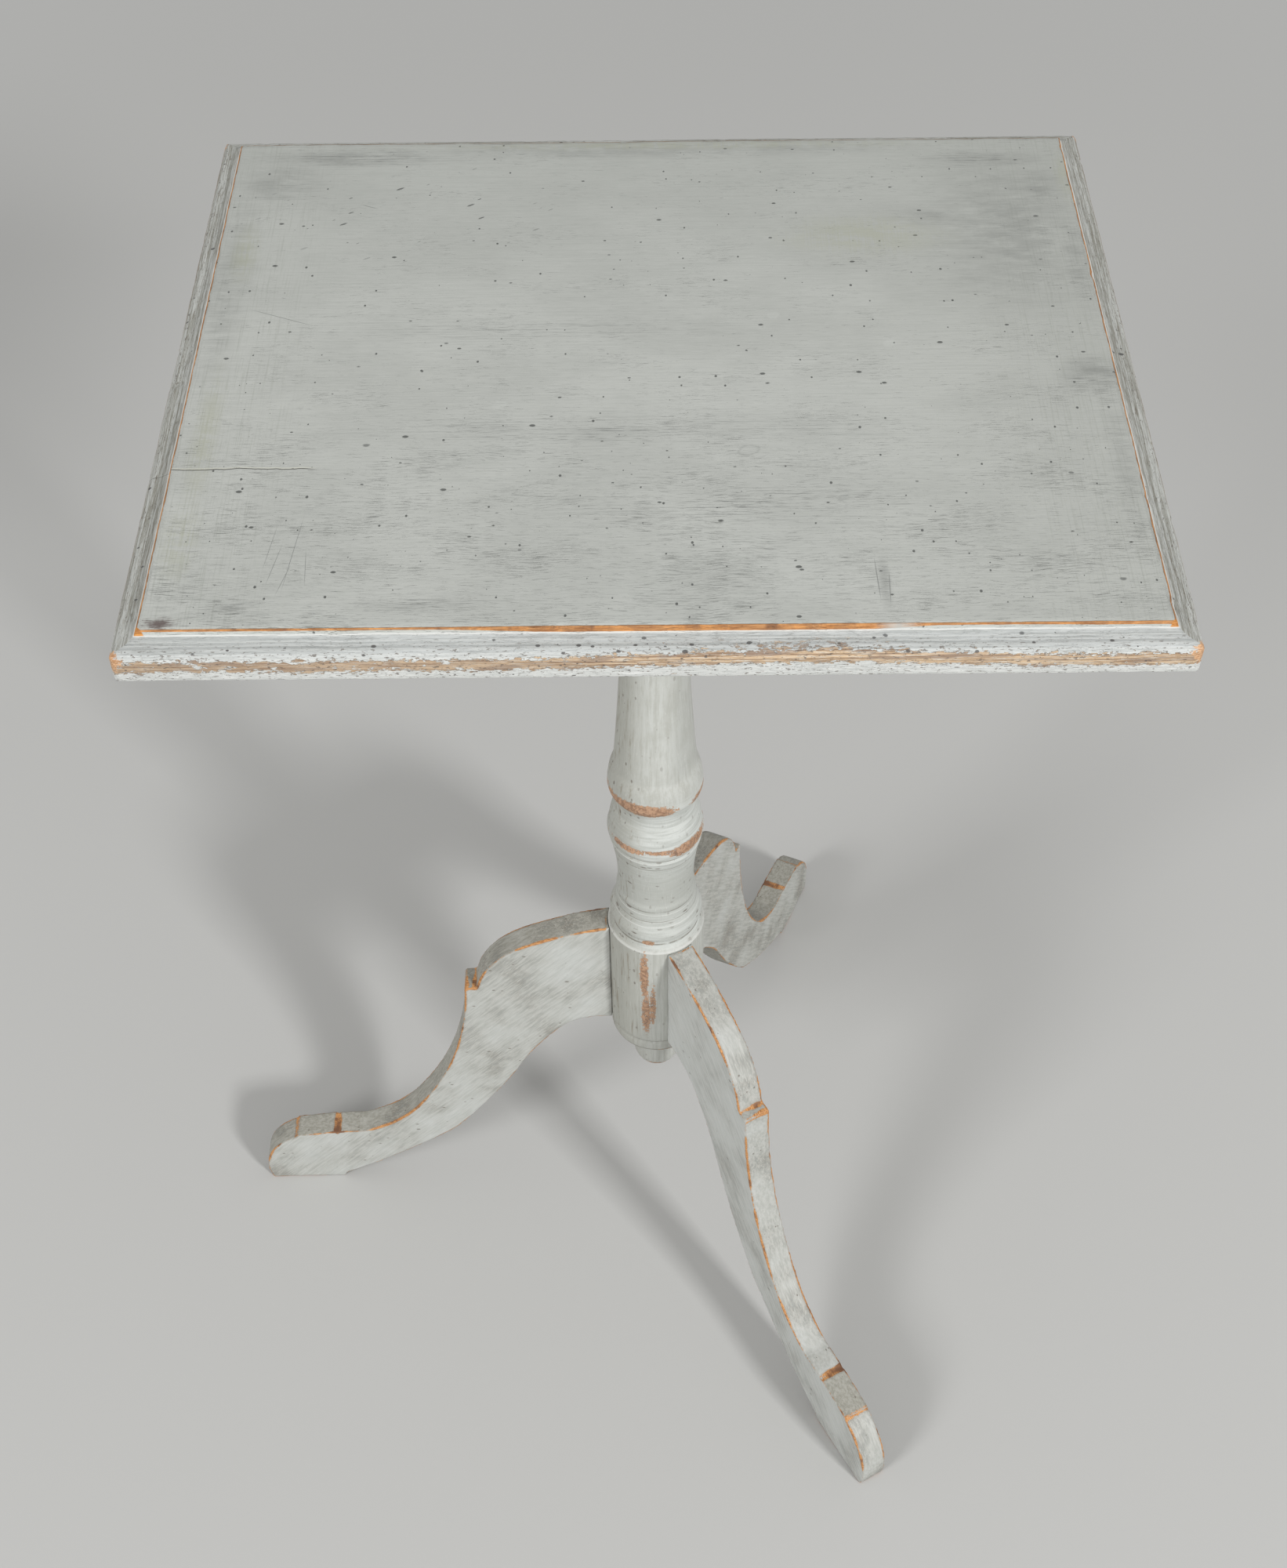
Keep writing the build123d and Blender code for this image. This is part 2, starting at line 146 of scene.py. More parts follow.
class Nodes:
    """Places shader nodes on one tree and wires them; the name is for what it prints."""

    def __init__(self, tree, name):
        self.tree = tree
        self.name = name

    def feed(self, socket, value):
        if isinstance(value, bpy.types.NodeSocket):
            self.tree.links.new(value, socket)
        else:
            socket.default_value = value

    def add(self, kind, inputs=None, **settings):
        node = self.tree.nodes.new("ShaderNode" + kind)
        for name, value in settings.items():
            setattr(node, name, value)
        for name, value in (inputs or {}).items():
            self.feed(node.inputs[name], value)
        return node

    def sum(self, operation, *values):
        node = self.add("Math", operation=operation)
        for socket, value in zip(node.inputs, values):
            self.feed(socket, value)
        return node.outputs[0]

    def chain(self, operation, values):
        result = values[0]
        for value in values[1:]:
            result = self.sum(operation, result, value)
        return result

    def times(self, *values):
        return self.chain("MULTIPLY", values)

    def plus(self, *values):
        return self.chain("ADD", values)

    def less(self, *values):
        return self.chain("SUBTRACT", values)

    def most(self, *values):
        return self.chain("MAXIMUM", values)

    def size(self, value):
        """A value without its sign."""
        return self.sum("ABSOLUTE", value)

    def blend(self, *shares):
        """Add up values, each times its own share: (value, share)."""
        return self.plus(*[self.times(*share) for share in shares])

    def fade(self, value, start, end):
        """0 where value is at start, 1 at end, with a soft run between; start may be above end."""
        inputs = {"Value": value, "From Min": start, "From Max": end}
        return self.add("MapRange", inputs, interpolation_type="SMOOTHSTEP").outputs["Result"]

    def bump_at(self, value, middle, half_width):
        """1 at middle, falling to 0 half_width away on each side."""
        return self.fade(self.size(self.less(value, middle)), half_width, 0.0)

    def vector(self, x, y, z):
        return self.add("CombineXYZ", {"X": x, "Y": y, "Z": z}).outputs[0]

    def split(self, vector):
        return self.add("SeparateXYZ", {"Vector": vector}).outputs

    def stored(self, name, output="Fac"):
        """A measure that is kept on the mesh's own points."""
        return self.add("Attribute", attribute_name=name).outputs[output]

    def placed(self, vector, move=(0, 0, 0), scale=(1, 1, 1), turned=(0, 0, 0)):
        inputs = {"Vector": vector, "Location": move, "Scale": scale, "Rotation": turned}
        return self.add("Mapping", inputs).outputs[0]

    def noise(self, vector, detail=2.0, rough=0.5, scale=1.0):
        inputs = {"Vector": vector, "Scale": scale, "Detail": detail, "Roughness": rough}
        return self.add("TexNoise", inputs).outputs["Fac"]

    def mottle(self, vector, stretch, detail=2.0, rough=0.5, move=(0, 0, 0)):
        """Noise over a place that is moved and scaled first, by one number or by one for each axis."""
        scale = (stretch,) * 3 if isinstance(stretch, float) else stretch
        return self.noise(self.placed(vector, move, scale), detail, rough)

    def oval(self, flat, centre, radii, turn=0.0):
        """How far out of an oval a point is: 0 at its middle, 1 on its edge. turn is in degrees."""
        a = radians(-turn)
        move = (
            -(centre[0] * cos(a) - centre[1] * sin(a)),
            -(centre[0] * sin(a) + centre[1] * cos(a)),
            0,
        )
        x, y = self.split(self.placed(flat, move=move, turned=(0, 0, a)))[:2]
        stretched = self.vector(self.sum("DIVIDE", x, radii[0]), self.sum("DIVIDE", y, radii[1]), 0.0)
        return self.add("VectorMath", {0: stretched}, operation="LENGTH").outputs["Value"]

    def ovals(self, flat, table, start, end):
        """The strongest of a table of soft ovals, each (centre, radii) or (centre, radii, turn)."""
        return self.most(0.0, *[self.fade(self.oval(flat, *row), start, end) for row in table])

    def mix(self, factor, first, second):
        """Blend two colours. A colour that is the same all over is (red, green, blue), 0 to 255."""
        first, second = (srgb(*c) if isinstance(c, tuple) else c for c in (first, second))
        return self.add("Mix", {0: factor, 6: first, 7: second}, data_type="RGBA").outputs[2]

    def tones(self, value, start, end, first, second):
        """The first colour where value is at start, the second at end."""
        return self.mix(self.fade(value, start, end), first, second)

    def layers(self, base, *coats):
        """A base colour under thin coats; each coat is its colour, then the masks that let it show."""
        for colour, *masks in coats:
            base = self.mix(self.times(*masks), base, colour)
        print(self.name, "coats laid:", len(coats))
        return base

    def use(self, group, vector, **inputs):
        """Place a group. Returns its only output, or all of them when it has several."""
        node = self.tree.nodes.new("ShaderNodeGroup")
        node.node_tree = group
        self.feed(node.inputs["Vector"], vector)
        for name, value in inputs.items():
            self.feed(node.inputs[name.capitalize()], value)
        return node.outputs if len(node.outputs) > 1 else node.outputs[0]


def new_group(name, sizes, results, kind="Float"):
    """An empty shader group that takes a place and some sizes; results are of the given kind."""
    tree = bpy.data.node_groups.new(name, "ShaderNodeTree")
    sockets = [("INPUT", "Vector", "Vector")]
    sockets += [("INPUT", label, "Float") for label in sizes]
    sockets += [("OUTPUT", label, kind) for label in results]
    for direction, label, socket_kind in sockets:
        tree.interface.new_socket(
            name=label, in_out=direction, socket_type="NodeSocket" + socket_kind
        )
    source = tree.nodes.new("NodeGroupInput")
    sink = tree.nodes.new("NodeGroupOutput")
    print("group:", name, "gives", ", ".join(results))
    return tree, Nodes(tree, name), source.outputs, sink.inputs


def new_material(name):
    """A material, a helper on its node tree, and its Principled shader."""
    material = bpy.data.materials.new(name)
    material.use_nodes = True
    print("material:", name)
    return material, Nodes(material.node_tree, name), material.node_tree.nodes["Principled BSDF"]


def millimetres(n, origin=(0.0, 0.0, 0.0)):
    """Object coordinates in millimetres, counted from an origin given in metres."""
    move = [-value / MM for value in origin]
    return n.placed(n.add("TexCoord").outputs["Object"], move=move, scale=(1 / MM, 1 / MM, 1 / MM))


def surface(n, shader, colour, roughness, relief, strength=0.5, distance=0.3 * MM):
    """Feed the finished colour, roughness and relief to the shader of a material."""
    n.feed(shader.inputs["Base Color"], colour)
    n.feed(shader.inputs["Roughness"], roughness)
    bump = n.add("Bump", {"Height": relief, "Strength": strength, "Distance": distance})
    n.feed(shader.inputs["Normal"], bump.outputs[0])
    print(n.name, "nodes:", len(n.tree.nodes))


# %% [markdown]
# ## The effects that every painted surface shares
#
# Old brushed paint shows four things at once: long soft brush strokes, thin dark lines where the grain has
# opened, small dark pits and chips, and arrises rubbed through to the wood. Each is a shader group, built
# once and placed in each paint that shows it, with its own sizes. Two more groups give the wood that shows
# through, and the skin of paint that chips off an edge. All lengths going into them are millimetres.

# %% Brush strokes


def stretched_out(n, given, wander=None):
    """A group's place, with one unit of it the given length along x and the given width across."""
    x, y, z = n.split(given["Vector"])
    if wander is not None:
        y = n.plus(y, wander)
    return n.vector(
        n.sum("DIVIDE", x, given["Length"]),
        n.sum("DIVIDE", y, given["Width"]),
        n.sum("DIVIDE", z, given["Width"]),
    )


brush_strokes, n, given, result = new_group("brush_strokes", ("Length", "Width"), ("Stroke",))
stretched = stretched_out(n, given)
n.feed(result["Stroke"], n.noise(stretched, detail=4.0, rough=0.62))

# %% Opened grain
open_grain, n, given, result = new_group("open_grain", ("Length", "Width", "Amount"), ("Line",))
wander = n.times(n.mottle(given["Vector"], 0.02), 9.0)
fibres = n.noise(stretched_out(n, given, wander), detail=3.0, rough=0.7)
threshold = n.less(0.74, n.times(given["Amount"], 0.22))
n.feed(result["Line"], n.fade(fibres, threshold, n.plus(threshold, 0.05)))

# %% Flecks and pits
flecks, n, given, result = new_group("flecks", ("Spacing", "Size", "Amount"), ("Fleck",))
shrunk = n.add(
    "VectorMath",
    {0: given["Vector"], "Scale": n.sum("DIVIDE", 1.0, given["Spacing"])},
    operation="SCALE",
).outputs[0]
cells = n.add("TexVoronoi", {"Vector": shrunk, "Scale": 1.0, "Randomness": 1.0}).outputs
chance, girth = n.split(cells["Color"])[:2]
ragged = n.times(n.noise(given["Vector"], detail=2.0, scale=2.2), 0.5)
radius = n.times(
    n.sum("DIVIDE", given["Size"], given["Spacing"]), n.plus(n.times(girth, girth, 0.8), 0.1, ragged)
)
inside = n.fade(cells["Distance"], radius, n.times(radius, 0.6))
n.feed(result["Fleck"], n.times(inside, n.sum("LESS_THAN", chance, given["Amount"])))

# %% Rubbed arrises
rubbed_arris, n, given, result = new_group("rubbed_arris", ("Distance", "Width"), ("Bare", "Rim"))
slow = n.mottle(given["Vector"], 0.045, detail=2.0)
quick = n.mottle(given["Vector"], 0.5, detail=3.0, rough=0.65)
reach = n.times(given["Width"], n.plus(n.blend((n.fade(slow, 0.34, 0.6), 0.85), (quick, 1.1)), -0.1))
n.feed(result["Bare"], n.fade(given["Distance"], reach, n.less(reach, 0.3)))
n.feed(result["Rim"], n.fade(given["Distance"], n.plus(reach, 0.9), reach))

# %% Wood under the paint
worn_wood, n, given, result = new_group("worn_wood", (), ("Color",), kind="Color")
fibre = n.mottle(given["Vector"], (0.1, 1.6, 1.6), detail=4.0, rough=0.65)
patch = n.mottle(given["Vector"], 0.09, detail=3.0)
tone = n.tones(fibre, 0.32, 0.66, (146, 94, 52), (214, 158, 100))
n.feed(result["Color"], n.tones(patch, 0.52, 0.7, tone, (116, 80, 56)))

# %% Chipped skin on an edge
chipped_skin, n, given, result = new_group("chipped_skin", ("Amount",), ("Bare", "Dirt"))
coarse = n.mottle(given["Vector"], (0.16, 0.5, 0.5), detail=5.0, rough=0.68)
small = n.mottle(given["Vector"], (0.5, 1.3, 1.3), detail=3.0, rough=0.6)
scatter = n.blend((coarse, 0.65), (small, 0.35))
limit = n.less(0.68, n.times(given["Amount"], 0.36))
n.feed(result["Bare"], n.fade(scatter, limit, n.plus(limit, 0.025)))
rim = n.bump_at(scatter, limit, 0.022)
holes = n.fade(n.mottle(given["Vector"], (0.4, 1.1, 1.1), 3.0, 0.6, move=(9, 4, 2)), 0.6, 0.64)
n.feed(result["Dirt"], n.most(n.times(rim, n.fade(small, 0.42, 0.6)), holes))

# %% [markdown]
# ## The paint of the top
#
# One measure drives the top's finish: how far a point lies outside the edge of the raised field. It is
# negative on the field, 0 at the little step, and grows over the moulding to its outer edge. The step is
# rubbed to orange wood all round, and the nose of the moulding is rubbed brown with a chipped white skin
# below it. Object coordinates are right for this, because the top is one rigid piece.

# %% Sizes of the top
BOARDS = ("top_board_front", "top_board_middle", "top_board_rear")
MOULDING_WIDTH = 11.5
board_boxes = [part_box(name) for name in BOARDS]
top_low = Vector(min(low[i] for low, high in board_boxes) for i in range(3))
top_high = Vector(max(high[i] for low, high in board_boxes) for i in range(3))
field_middle = (top_low + top_high) / 2
field_middle.z = top_high.z
outer_half_x = (top_high.x - top_low.x) / 2 / MM
outer_half_y = (top_high.y - top_low.y) / 2 / MM
field_half_x = outer_half_x - MOULDING_WIDTH
field_half_y = outer_half_y - MOULDING_WIDTH
print("raised field, mm:", round(2 * field_half_x, 1), "by", round(2 * field_half_y, 1))

# %% Where a point lies on the top
top_paint, n, shader = new_material("top_paint")
here = millimetres(n, field_middle)
x, y, z = n.split(here)
beyond_x = n.less(n.size(x), field_half_x)
beyond_y = n.less(n.size(y), field_half_y)
beyond = n.most(beyond_x, beyond_y)
depth = n.times(z, -1.0)
on_moulding = n.fade(beyond, 0.0, 0.3)
on_side = n.times(n.sum("GREATER_THAN", beyond_x, beyond_y), n.fade(beyond, -2.5, -1.5))
on_front = n.times(n.fade(y, -field_half_y + 3, -field_half_y), n.less(1.0, on_side))
turned = n.vector(y, x, z)
along = n.add("Mix", {0: on_side, 4: here, 5: turned}, data_type="VECTOR").outputs[1]

# %% Colour of the field
strokes = n.use(brush_strokes, along, length=60.0, width=1.1)
fine = n.use(brush_strokes, along, length=9.0, width=0.45)
cross = n.use(brush_strokes, turned, length=34.0, width=0.9)
cloud = n.mottle(here, (0.011, 0.016, 0.01), detail=4.0, rough=0.6)
near_ends = n.fade(n.size(x), 150.0, 200.0)
paint = n.layers(
    n.tones(cloud, 0.38, 0.62, (180, 182, 177), (188, 190, 185)),
    ((166, 169, 164), n.fade(strokes, 0.42, 0.7), 0.4),
    ((202, 204, 200), n.fade(fine, 0.5, 0.28), 0.35),
    ((146, 148, 144), n.fade(fine, 0.54, 0.74), 0.4),
    # Painted shade: the next two coats darken the field towards the back and towards the right end.
    ((160, 163, 158), n.fade(y, -40.0, 190.0), 0.35),
    ((164, 166, 160), n.fade(x, 60.0, 230.0), 0.3),
    ((154, 157, 149), near_ends, n.fade(cross, 0.5, 0.68), 0.4),
)

# %% Grain, pits and dents of the field
NICK_SLANT = radians(-32)
NICKED_PLACE = ((-125, 125), (110, 62))
patchy = n.mottle(here, (0.02, 0.045, 0.01), detail=3.0, move=(5, 3, 0))
openness = n.plus(0.3, n.times(n.fade(y, 60.0, -180.0), 0.28), n.times(n.fade(patchy, 0.42, 0.66), 0.3))
lines = n.use(open_grain, along, length=11.0, width=0.3, amount=openness)
pits = n.most(
    n.use(flecks, n.placed(here, scale=(0.62, 1, 1)), spacing=7.6, size=1.0, amount=0.55),
    n.use(flecks, n.placed(here, (7, 3, 0), (1, 0.7, 1)), spacing=4.6, size=0.7, amount=openness),
)
slant_x, slant_y = n.split(n.placed(here, turned=(0, 0, NICK_SLANT)))[:2]
slanted = n.vector(n.times(slant_x, 0.3), slant_y, 0.0)
nicks = n.use(flecks, slanted, spacing=4.2, size=0.75, amount=0.6)
nicks = n.times(nicks, n.fade(n.oval(here, *NICKED_PLACE), 1.0, 0.3))
paint = n.layers(
    paint,
    ((100, 102, 98), lines, 0.66),
    ((72, 74, 72), pits, 0.85),
    ((84, 86, 84), nicks, 0.8),
)

# %% [markdown]
# The field's larger marks are few, and each has its own place, so they are written as tables: dark rubbed
# smudges near the back corners, yellowed patches by the ends, single pits, scratches from something
# dragged, a knot, and one short crack that runs in from the left edge along a glue line. Places are
# millimetres from the middle of the field, and turns are degrees.

# %% Tables of marks
# Each smudge is (middle, radii, turn, haze, lines).
SMUDGES = (
    ((-160, 174), (78, 12), 0, 0.55, 1.0), ((-198, 150), (34, 26), 0, 0.5, 0.4),
    ((0, 181), (225, 13), 0, 0.45, 0.4), ((182, 168), (46, 13), 0, 0.55, 0.9),
    ((206, 138), (22, 30), 0, 0.55, 0.4), ((216, 80), (13, 70), 0, 0.5, 0.3),
    ((150, 112), (46, 15), -12, 0.45, 0.2), ((166, 62), (30, 18), 0, 0.4, 0.2),
    ((211, -20), (22, 20), 20, 0.8, 0.8), ((217, -80), (10, 70), 0, 0.35, 0.3),
    ((185, 100), (60, 95), 0, 0.55, 0.25), ((-214, 60), (16, 150), 0, 0.4, 0.2),
    ((-20, -58), (170, 13), 0, 0.15, 0.8), ((-114, -174), (70, 7), 3, 0.15, 0.9),
    ((-186, -176), (24, 4), 14, 0.3, 1.0), ((100, -163), (4, 24), 0, 0.7, 0.9),
    ((40, -110), (110, 18), 0, 0.0, 0.8), ((-60, 20), (150, 12), 0, 0.1, 0.45),
)
# Each yellowed patch is (middle, radii).
YELLOWED = (
    ((-210, -61), (9, 75)), ((-212, -132), (12, 36)), ((-209, 86), (10, 36)), ((222, 150), (9, 34)),
    ((109, 98), (60, 26)), ((10, 184), (200, 6)),
)
PALE_DABS = ((-73, -38), (116, 7), (60, 30))
# Each spot is (middle, radius).
SPOTS = (
    ((-21.7, 82.7), 0.7), ((-20.8, 61.7), 0.7), ((204, -162), 1.3), ((191, -91), 1.1), ((-134, -67), 1.5),
    ((-101, 10), 0.9), ((162, 46), 0.7), ((120, -96), 0.7), ((-60, -140), 0.8), ((186, 12), 0.7),
)
# Each scratch is (middle, half length and half width, turn).
SCRATCHES = (
    ((-160.5, -141), (29, 0.22), 84), ((-168, -148), (16, 0.2), 80), ((-154, -150), (14, 0.2), 94),
    ((-163, -158), (12, 0.2), 76), ((-184, 32), (22, 0.3), -23), ((-171, -137), (18, 0.18), 83),
    ((97, -160), (16, 0.3), 92), ((102, -166), (12, 0.3), 88), ((-148, 128), (6, 0.35), -24),
)
KNOT = ((44, -73), (6, 4.2), 20)
print("marks:", len(SMUDGES) + len(YELLOWED) + len(PALE_DABS) + len(SPOTS) + len(SCRATCHES) + 1)

# %% Marks on the field
haze = 0.0
sooty = 0.0
for *place, hazy, lined in SMUDGES:
    inside = n.fade(n.oval(here, *place), 1.0, 0.0)
    haze = n.most(haze, n.times(inside, hazy))
    sooty = n.most(sooty, n.times(inside, lined))
broken = n.mottle(here, (0.05, 0.14, 0.1), detail=4.0, rough=0.65)
soot_lines = n.fade(n.blend((fine, 0.5), (strokes, 0.5)), 0.52, 0.6)
yellow = n.ovals(here, YELLOWED, 1.0, 0.0)
dabs = [n.plus(n.oval(here, middle, (6, 4.5), 30), n.times(fine, 0.9)) for middle in PALE_DABS]
spotted = 0.0
for middle, radius in SPOTS:
    away = n.plus(n.oval(here, middle, (radius * 1.5, radius)), n.times(fine, 1.4))
    spotted = n.most(spotted, n.fade(away, 1.6, 1.2))
paint = n.layers(
    paint,
    ((128, 130, 126), haze, n.fade(broken, 0.2, 0.72)),
    ((98, 99, 98), sooty, soot_lines, 0.75),
    ((168, 170, 150), yellow, n.fade(n.plus(cross, broken), 0.8, 1.1), 0.5),
    *[((202, 205, 200), n.fade(away, 1.15, 0.9), 0.22) for away in dabs],
    ((92, 94, 92), spotted, 0.7),
    ((108, 110, 108), n.ovals(here, SCRATCHES, 1.0, 0.5), 0.6),
    ((122, 124, 120), n.bump_at(n.oval(here, *KNOT), n.plus(0.3, fine), 0.2), 0.28),
)

# %% The crack
CRACK_FORWARD = 83.0
CRACK_END = (-153.0, -162.0)
drift = n.times(n.less(n.noise(n.vector(n.times(x, 0.05), 0.0, 0.0), detail=3.0), 0.5), 5.0)
off_crack = n.less(n.plus(y, CRACK_FORWARD), drift)
crack_run = n.fade(x, *CRACK_END)
crack_lip = n.times(n.bump_at(off_crack, 0.55, 0.6), crack_run)
crack = n.times(n.bump_at(off_crack, -0.2, 0.5), crack_run)
paint = n.layers(paint, ((206, 206, 192), crack_lip, 0.7), ((88, 84, 74), crack, 0.85))

# %% [markdown]
# The moulding catches every knock. Its slope is streaked along its length, lighter at the front than
# down the sides, and on the front lighter bands that follow its profile are painted highlights. Its nose
# is rubbed to tan wood, and the skin of paint below the nose is thick, white and chipped. The step above
# it is rubbed through to orange wood, most of all at the middle of the front, with a dirty line on the
# field side and a painted highlight along its foot.

# %% The moulding
slope_side = n.layers(
    n.tones(strokes, 0.4, 0.6, (184, 186, 182), (144, 144, 136)),
    ((112, 102, 88), n.fade(fine, 0.52, 0.64), 0.55),
)
slope_front = n.tones(strokes, 0.36, 0.62, (186, 189, 188), (162, 165, 163))
# Painted highlights: lighter bands that follow the profile of the front moulding.
profile_highlight_bands = n.noise(n.vector(n.times(beyond, 1.1), n.times(depth, 0.5), 3.0), detail=1.0)
streaks = n.use(open_grain, along, length=16.0, width=0.5, amount=0.55)
speckled = n.plus(0.2, n.times(n.bump_at(x, -30.0, 90.0), 0.8))
dots = n.use(flecks, n.placed(here, (3, 8, 1), (0.7, 1, 1)), spacing=3.4, size=1.0, amount=speckled)
# Painted highlight: a pale line along the foot of the step.
step_foot_highlight = n.bump_at(n.plus(beyond, n.times(fine, 0.4)), 0.75, 0.55)
moulding = n.layers(
    n.mix(on_front, slope_side, slope_front),
    ((204, 206, 203), n.fade(profile_highlight_bands, 0.5, 0.62), on_front, 0.45),
    ((98, 99, 94), streaks, 0.55),
    ((208, 210, 207), n.fade(fine, 0.5, 0.3), 0.4),
    ((84, 86, 86), dots, 0.8),
    ((222, 222, 218), step_foot_highlight, 0.8),
)
paint = n.mix(on_moulding, paint, moulding)

# %% Rubbed wood of the nose
NOSE_DOWN = 11.2
brown_run = n.fade(n.mottle(here, (0.035, 0.035, 0.3), 3.0, 0.6, move=(3, 2, 1)), 0.5, 0.62)
tan = n.layers(
    n.tones(strokes, 0.38, 0.6, (142, 114, 88), (204, 178, 146)),
    ((208, 204, 194), n.fade(fine, 0.5, 0.64), 0.75),
    ((112, 94, 78), n.fade(fine, 0.42, 0.3), 0.7),
    ((138, 118, 104), brown_run, 0.7),
    ((150, 130, 112), n.fade(x, 60.0, -160.0), 0.45),
)
rubbed_high = n.times(n.bump_at(x, 60.0, 130.0), 3.5)
in_nose = n.bump_at(depth, n.less(NOSE_DOWN, rubbed_high), 6.0)
gaps = n.fade(n.mottle(here, (0.1, 0.1, 0.25), 3.0, 0.6, move=(1, 6, 3)), 0.4, 0.58)
whole = n.plus(0.55, n.times(n.fade(x, -120.0, 20.0), 0.35))
in_nose = n.times(
    in_nose,
    n.plus(n.times(on_front, 0.4), 0.45),
    n.plus(whole, n.times(gaps, n.less(1.0, whole))),
)

# %% The edge below the nose
below = n.fade(depth, 5.0, 8.5)
near_edge = n.fade(depth, 3.0, 5.5)
edge_skin = n.tones(
    y, -field_half_y + 16, -field_half_y,
    n.tones(strokes, 0.4, 0.6, (180, 180, 173), (138, 124, 106)),
    n.tones(fine, 0.36, 0.6, (212, 213, 210), (188, 190, 187)),
)
chips = n.use(chipped_skin, along, amount=n.blend((in_nose, 1.05), (below, 0.16)))
paint = n.layers(
    paint,
    (edge_skin, below),
    (tan, chips["Bare"], near_edge),
    ((96, 86, 78), chips["Dirt"], near_edge, 0.75),
    ((78, 74, 72), dots, near_edge, 0.8),
)

# %% Bare corners
CORNER_OUT = 11.0
CORNER_DOWN = 8.0
corner_x, corner_y = (n.sum("POWER", n.less(v, CORNER_OUT), 2.0) for v in (beyond_x, beyond_y))
corner_away = n.sum("SQRT", n.plus(corner_x, corner_y))
corner_down = n.times(n.size(n.less(depth, CORNER_DOWN)), 0.7)
corner_bare = n.plus(corner_away, corner_down, n.times(n.noise(here, 4.0, 0.7, 0.4), 12.0))
corner_wood = n.tones(fine, 0.38, 0.58, (168, 122, 84), (212, 172, 134))
paint = n.layers(paint, (corner_wood, n.fade(corner_bare, 12.5, 11.0)))

# %% The rubbed step
step_run = n.plus(beyond, n.most(depth, 0.0))
thick_middle = n.times(n.fade(x, -100.0, -35.0), n.fade(x, 125.0, 90.0))
thick = n.plus(thick_middle, n.times(n.fade(x, 150.0, 200.0), 0.25))
gap = n.times(n.bump_at(x, 104.0, 12.0), on_front)
uneven = n.mottle(here, 0.07, detail=4.0, rough=0.7, move=(2, 5, 1))
down_riser = n.plus(0.15, n.times(on_front, thick, 2.0), n.times(uneven, 0.9))
in_field = n.plus(0.1, n.times(on_front, thick, 0.3), uneven)
worn_step = n.times(
    n.fade(step_run, n.plus(down_riser, 0.2), down_riser),
    n.fade(step_run, n.times(n.plus(in_field, 0.25), -1.0), n.times(in_field, -1.0)),
    n.fade(beyond, 0.7, 0.35),
    n.less(1.0, n.times(gap, 0.8)),
)
dirty = n.bump_at(step_run, n.less(-0.15, in_field), 0.42)
step_wood = n.layers(
    n.use(worn_wood, along),
    (n.tones(uneven, 0.44, 0.56, (206, 138, 72), (140, 94, 58)), 0.4),
    ((120, 84, 54), n.fade(fine, 0.5, 0.64), 0.6),
)
paint = n.layers(
    paint, ((92, 74, 56), dirty, n.fade(uneven, 0.3, 0.5), 0.8), (step_wood, worn_step)
)

# %% Front corners of the step
BRUISE = ((-213, -184.5), (12, 6), 8)
corner_in_x = n.less(field_half_x + 0.5, n.size(x))
corner_in_y = n.plus(y, field_half_y + 0.5)
wedge = n.plus(corner_in_x, corner_in_y, n.times(uneven, 3.0))
wedge_wood = n.tones(fine, 0.4, 0.6, (212, 146, 70), (156, 100, 52))
ragged = n.plus(n.oval(here, *BRUISE), n.times(fine, 2.2), n.times(uneven, 1.6))
paint = n.layers(
    paint,
    (wedge_wood, n.fade(wedge, 6.0, 5.2), n.fade(beyond, 0.6, 0.3)),
    ((80, 60, 58), n.fade(ragged, 2.6, 2.1), n.fade(beyond, 0.1, -0.2), 0.85),
)

# %% Sheen and relief of the top
raised = n.blend((strokes, 0.15), (fine, 0.2))
hollows = n.blend((lines, 0.35), (pits, 0.8), (nicks, 0.8), (crack, 1.5), (chips["Bare"], near_edge, 1.3))
roughness = n.plus(0.48, n.times(fine, 0.25))
surface(n, shader, paint, roughness, n.less(raised, hollows), strength=0.7, distance=0.35 * MM)

# %% [markdown]
# ## The paint of the stand
#
# The column and the legs wear the same paint. A leg is a flat board cut to a curve, so its paint follows
# measures stored on its mesh: where a point lies along the leg, how far it is from the nearest arris, and
# how soiled that place is, with painted shade added where it faces down. The column's paint follows its
# height: each turned ring has its own worn band, and the column's left side carries painted shade.

# %% Paint on the legs
BRUSHED_AT = radians(48)
leg_paint, n, shader = new_material("leg_paint")
place = n.stored("leg_place", "Vector")
swept = n.placed(place, turned=(0, 0, BRUSHED_AT))
strokes = n.use(brush_strokes, swept, length=22.0, width=1.8)
fine = n.use(brush_strokes, swept, length=5.0, width=0.5)
cloud = n.mottle(place, 0.03, detail=3.0)
clean = n.tones(strokes, 0.34, 0.7, (196, 198, 195), (184, 187, 183))
# The dirty tone is also the colour of the painted shade under a leg.
dirty = n.layers(
    n.tones(strokes, 0.35, 0.65, (168, 166, 157), (144, 142, 131)),
    ((112, 104, 92), n.fade(n.plus(cloud, n.times(fine, 0.8)), 0.96, 1.1), 0.6),
)
# The stored measure holds dirt, with painted shade added on the faces that look down.
soiled_and_shaded = n.plus(n.stored("grime_and_shade"), n.times(n.less(cloud, 0.5), 1.1))
smudges = n.fade(n.plus(strokes, n.times(fine, 0.6)), 0.72, 1.0)
ticks = n.use(flecks, n.placed(place, scale=(0.5, 1, 1)), spacing=3.6, size=0.8, amount=0.3)
paint = n.layers(
    n.tones(soiled_and_shaded, 0.0, 1.0, clean, dirty),
    ((140, 143, 141), n.times(n.fade(cloud, 0.44, 0.64), smudges), 0.5),
    ((150, 152, 148), n.fade(fine, 0.54, 0.74), 0.25),
    ((212, 214, 211), n.fade(fine, 0.46, 0.28), 0.3),
    ((104, 96, 86), ticks, 0.7),
)

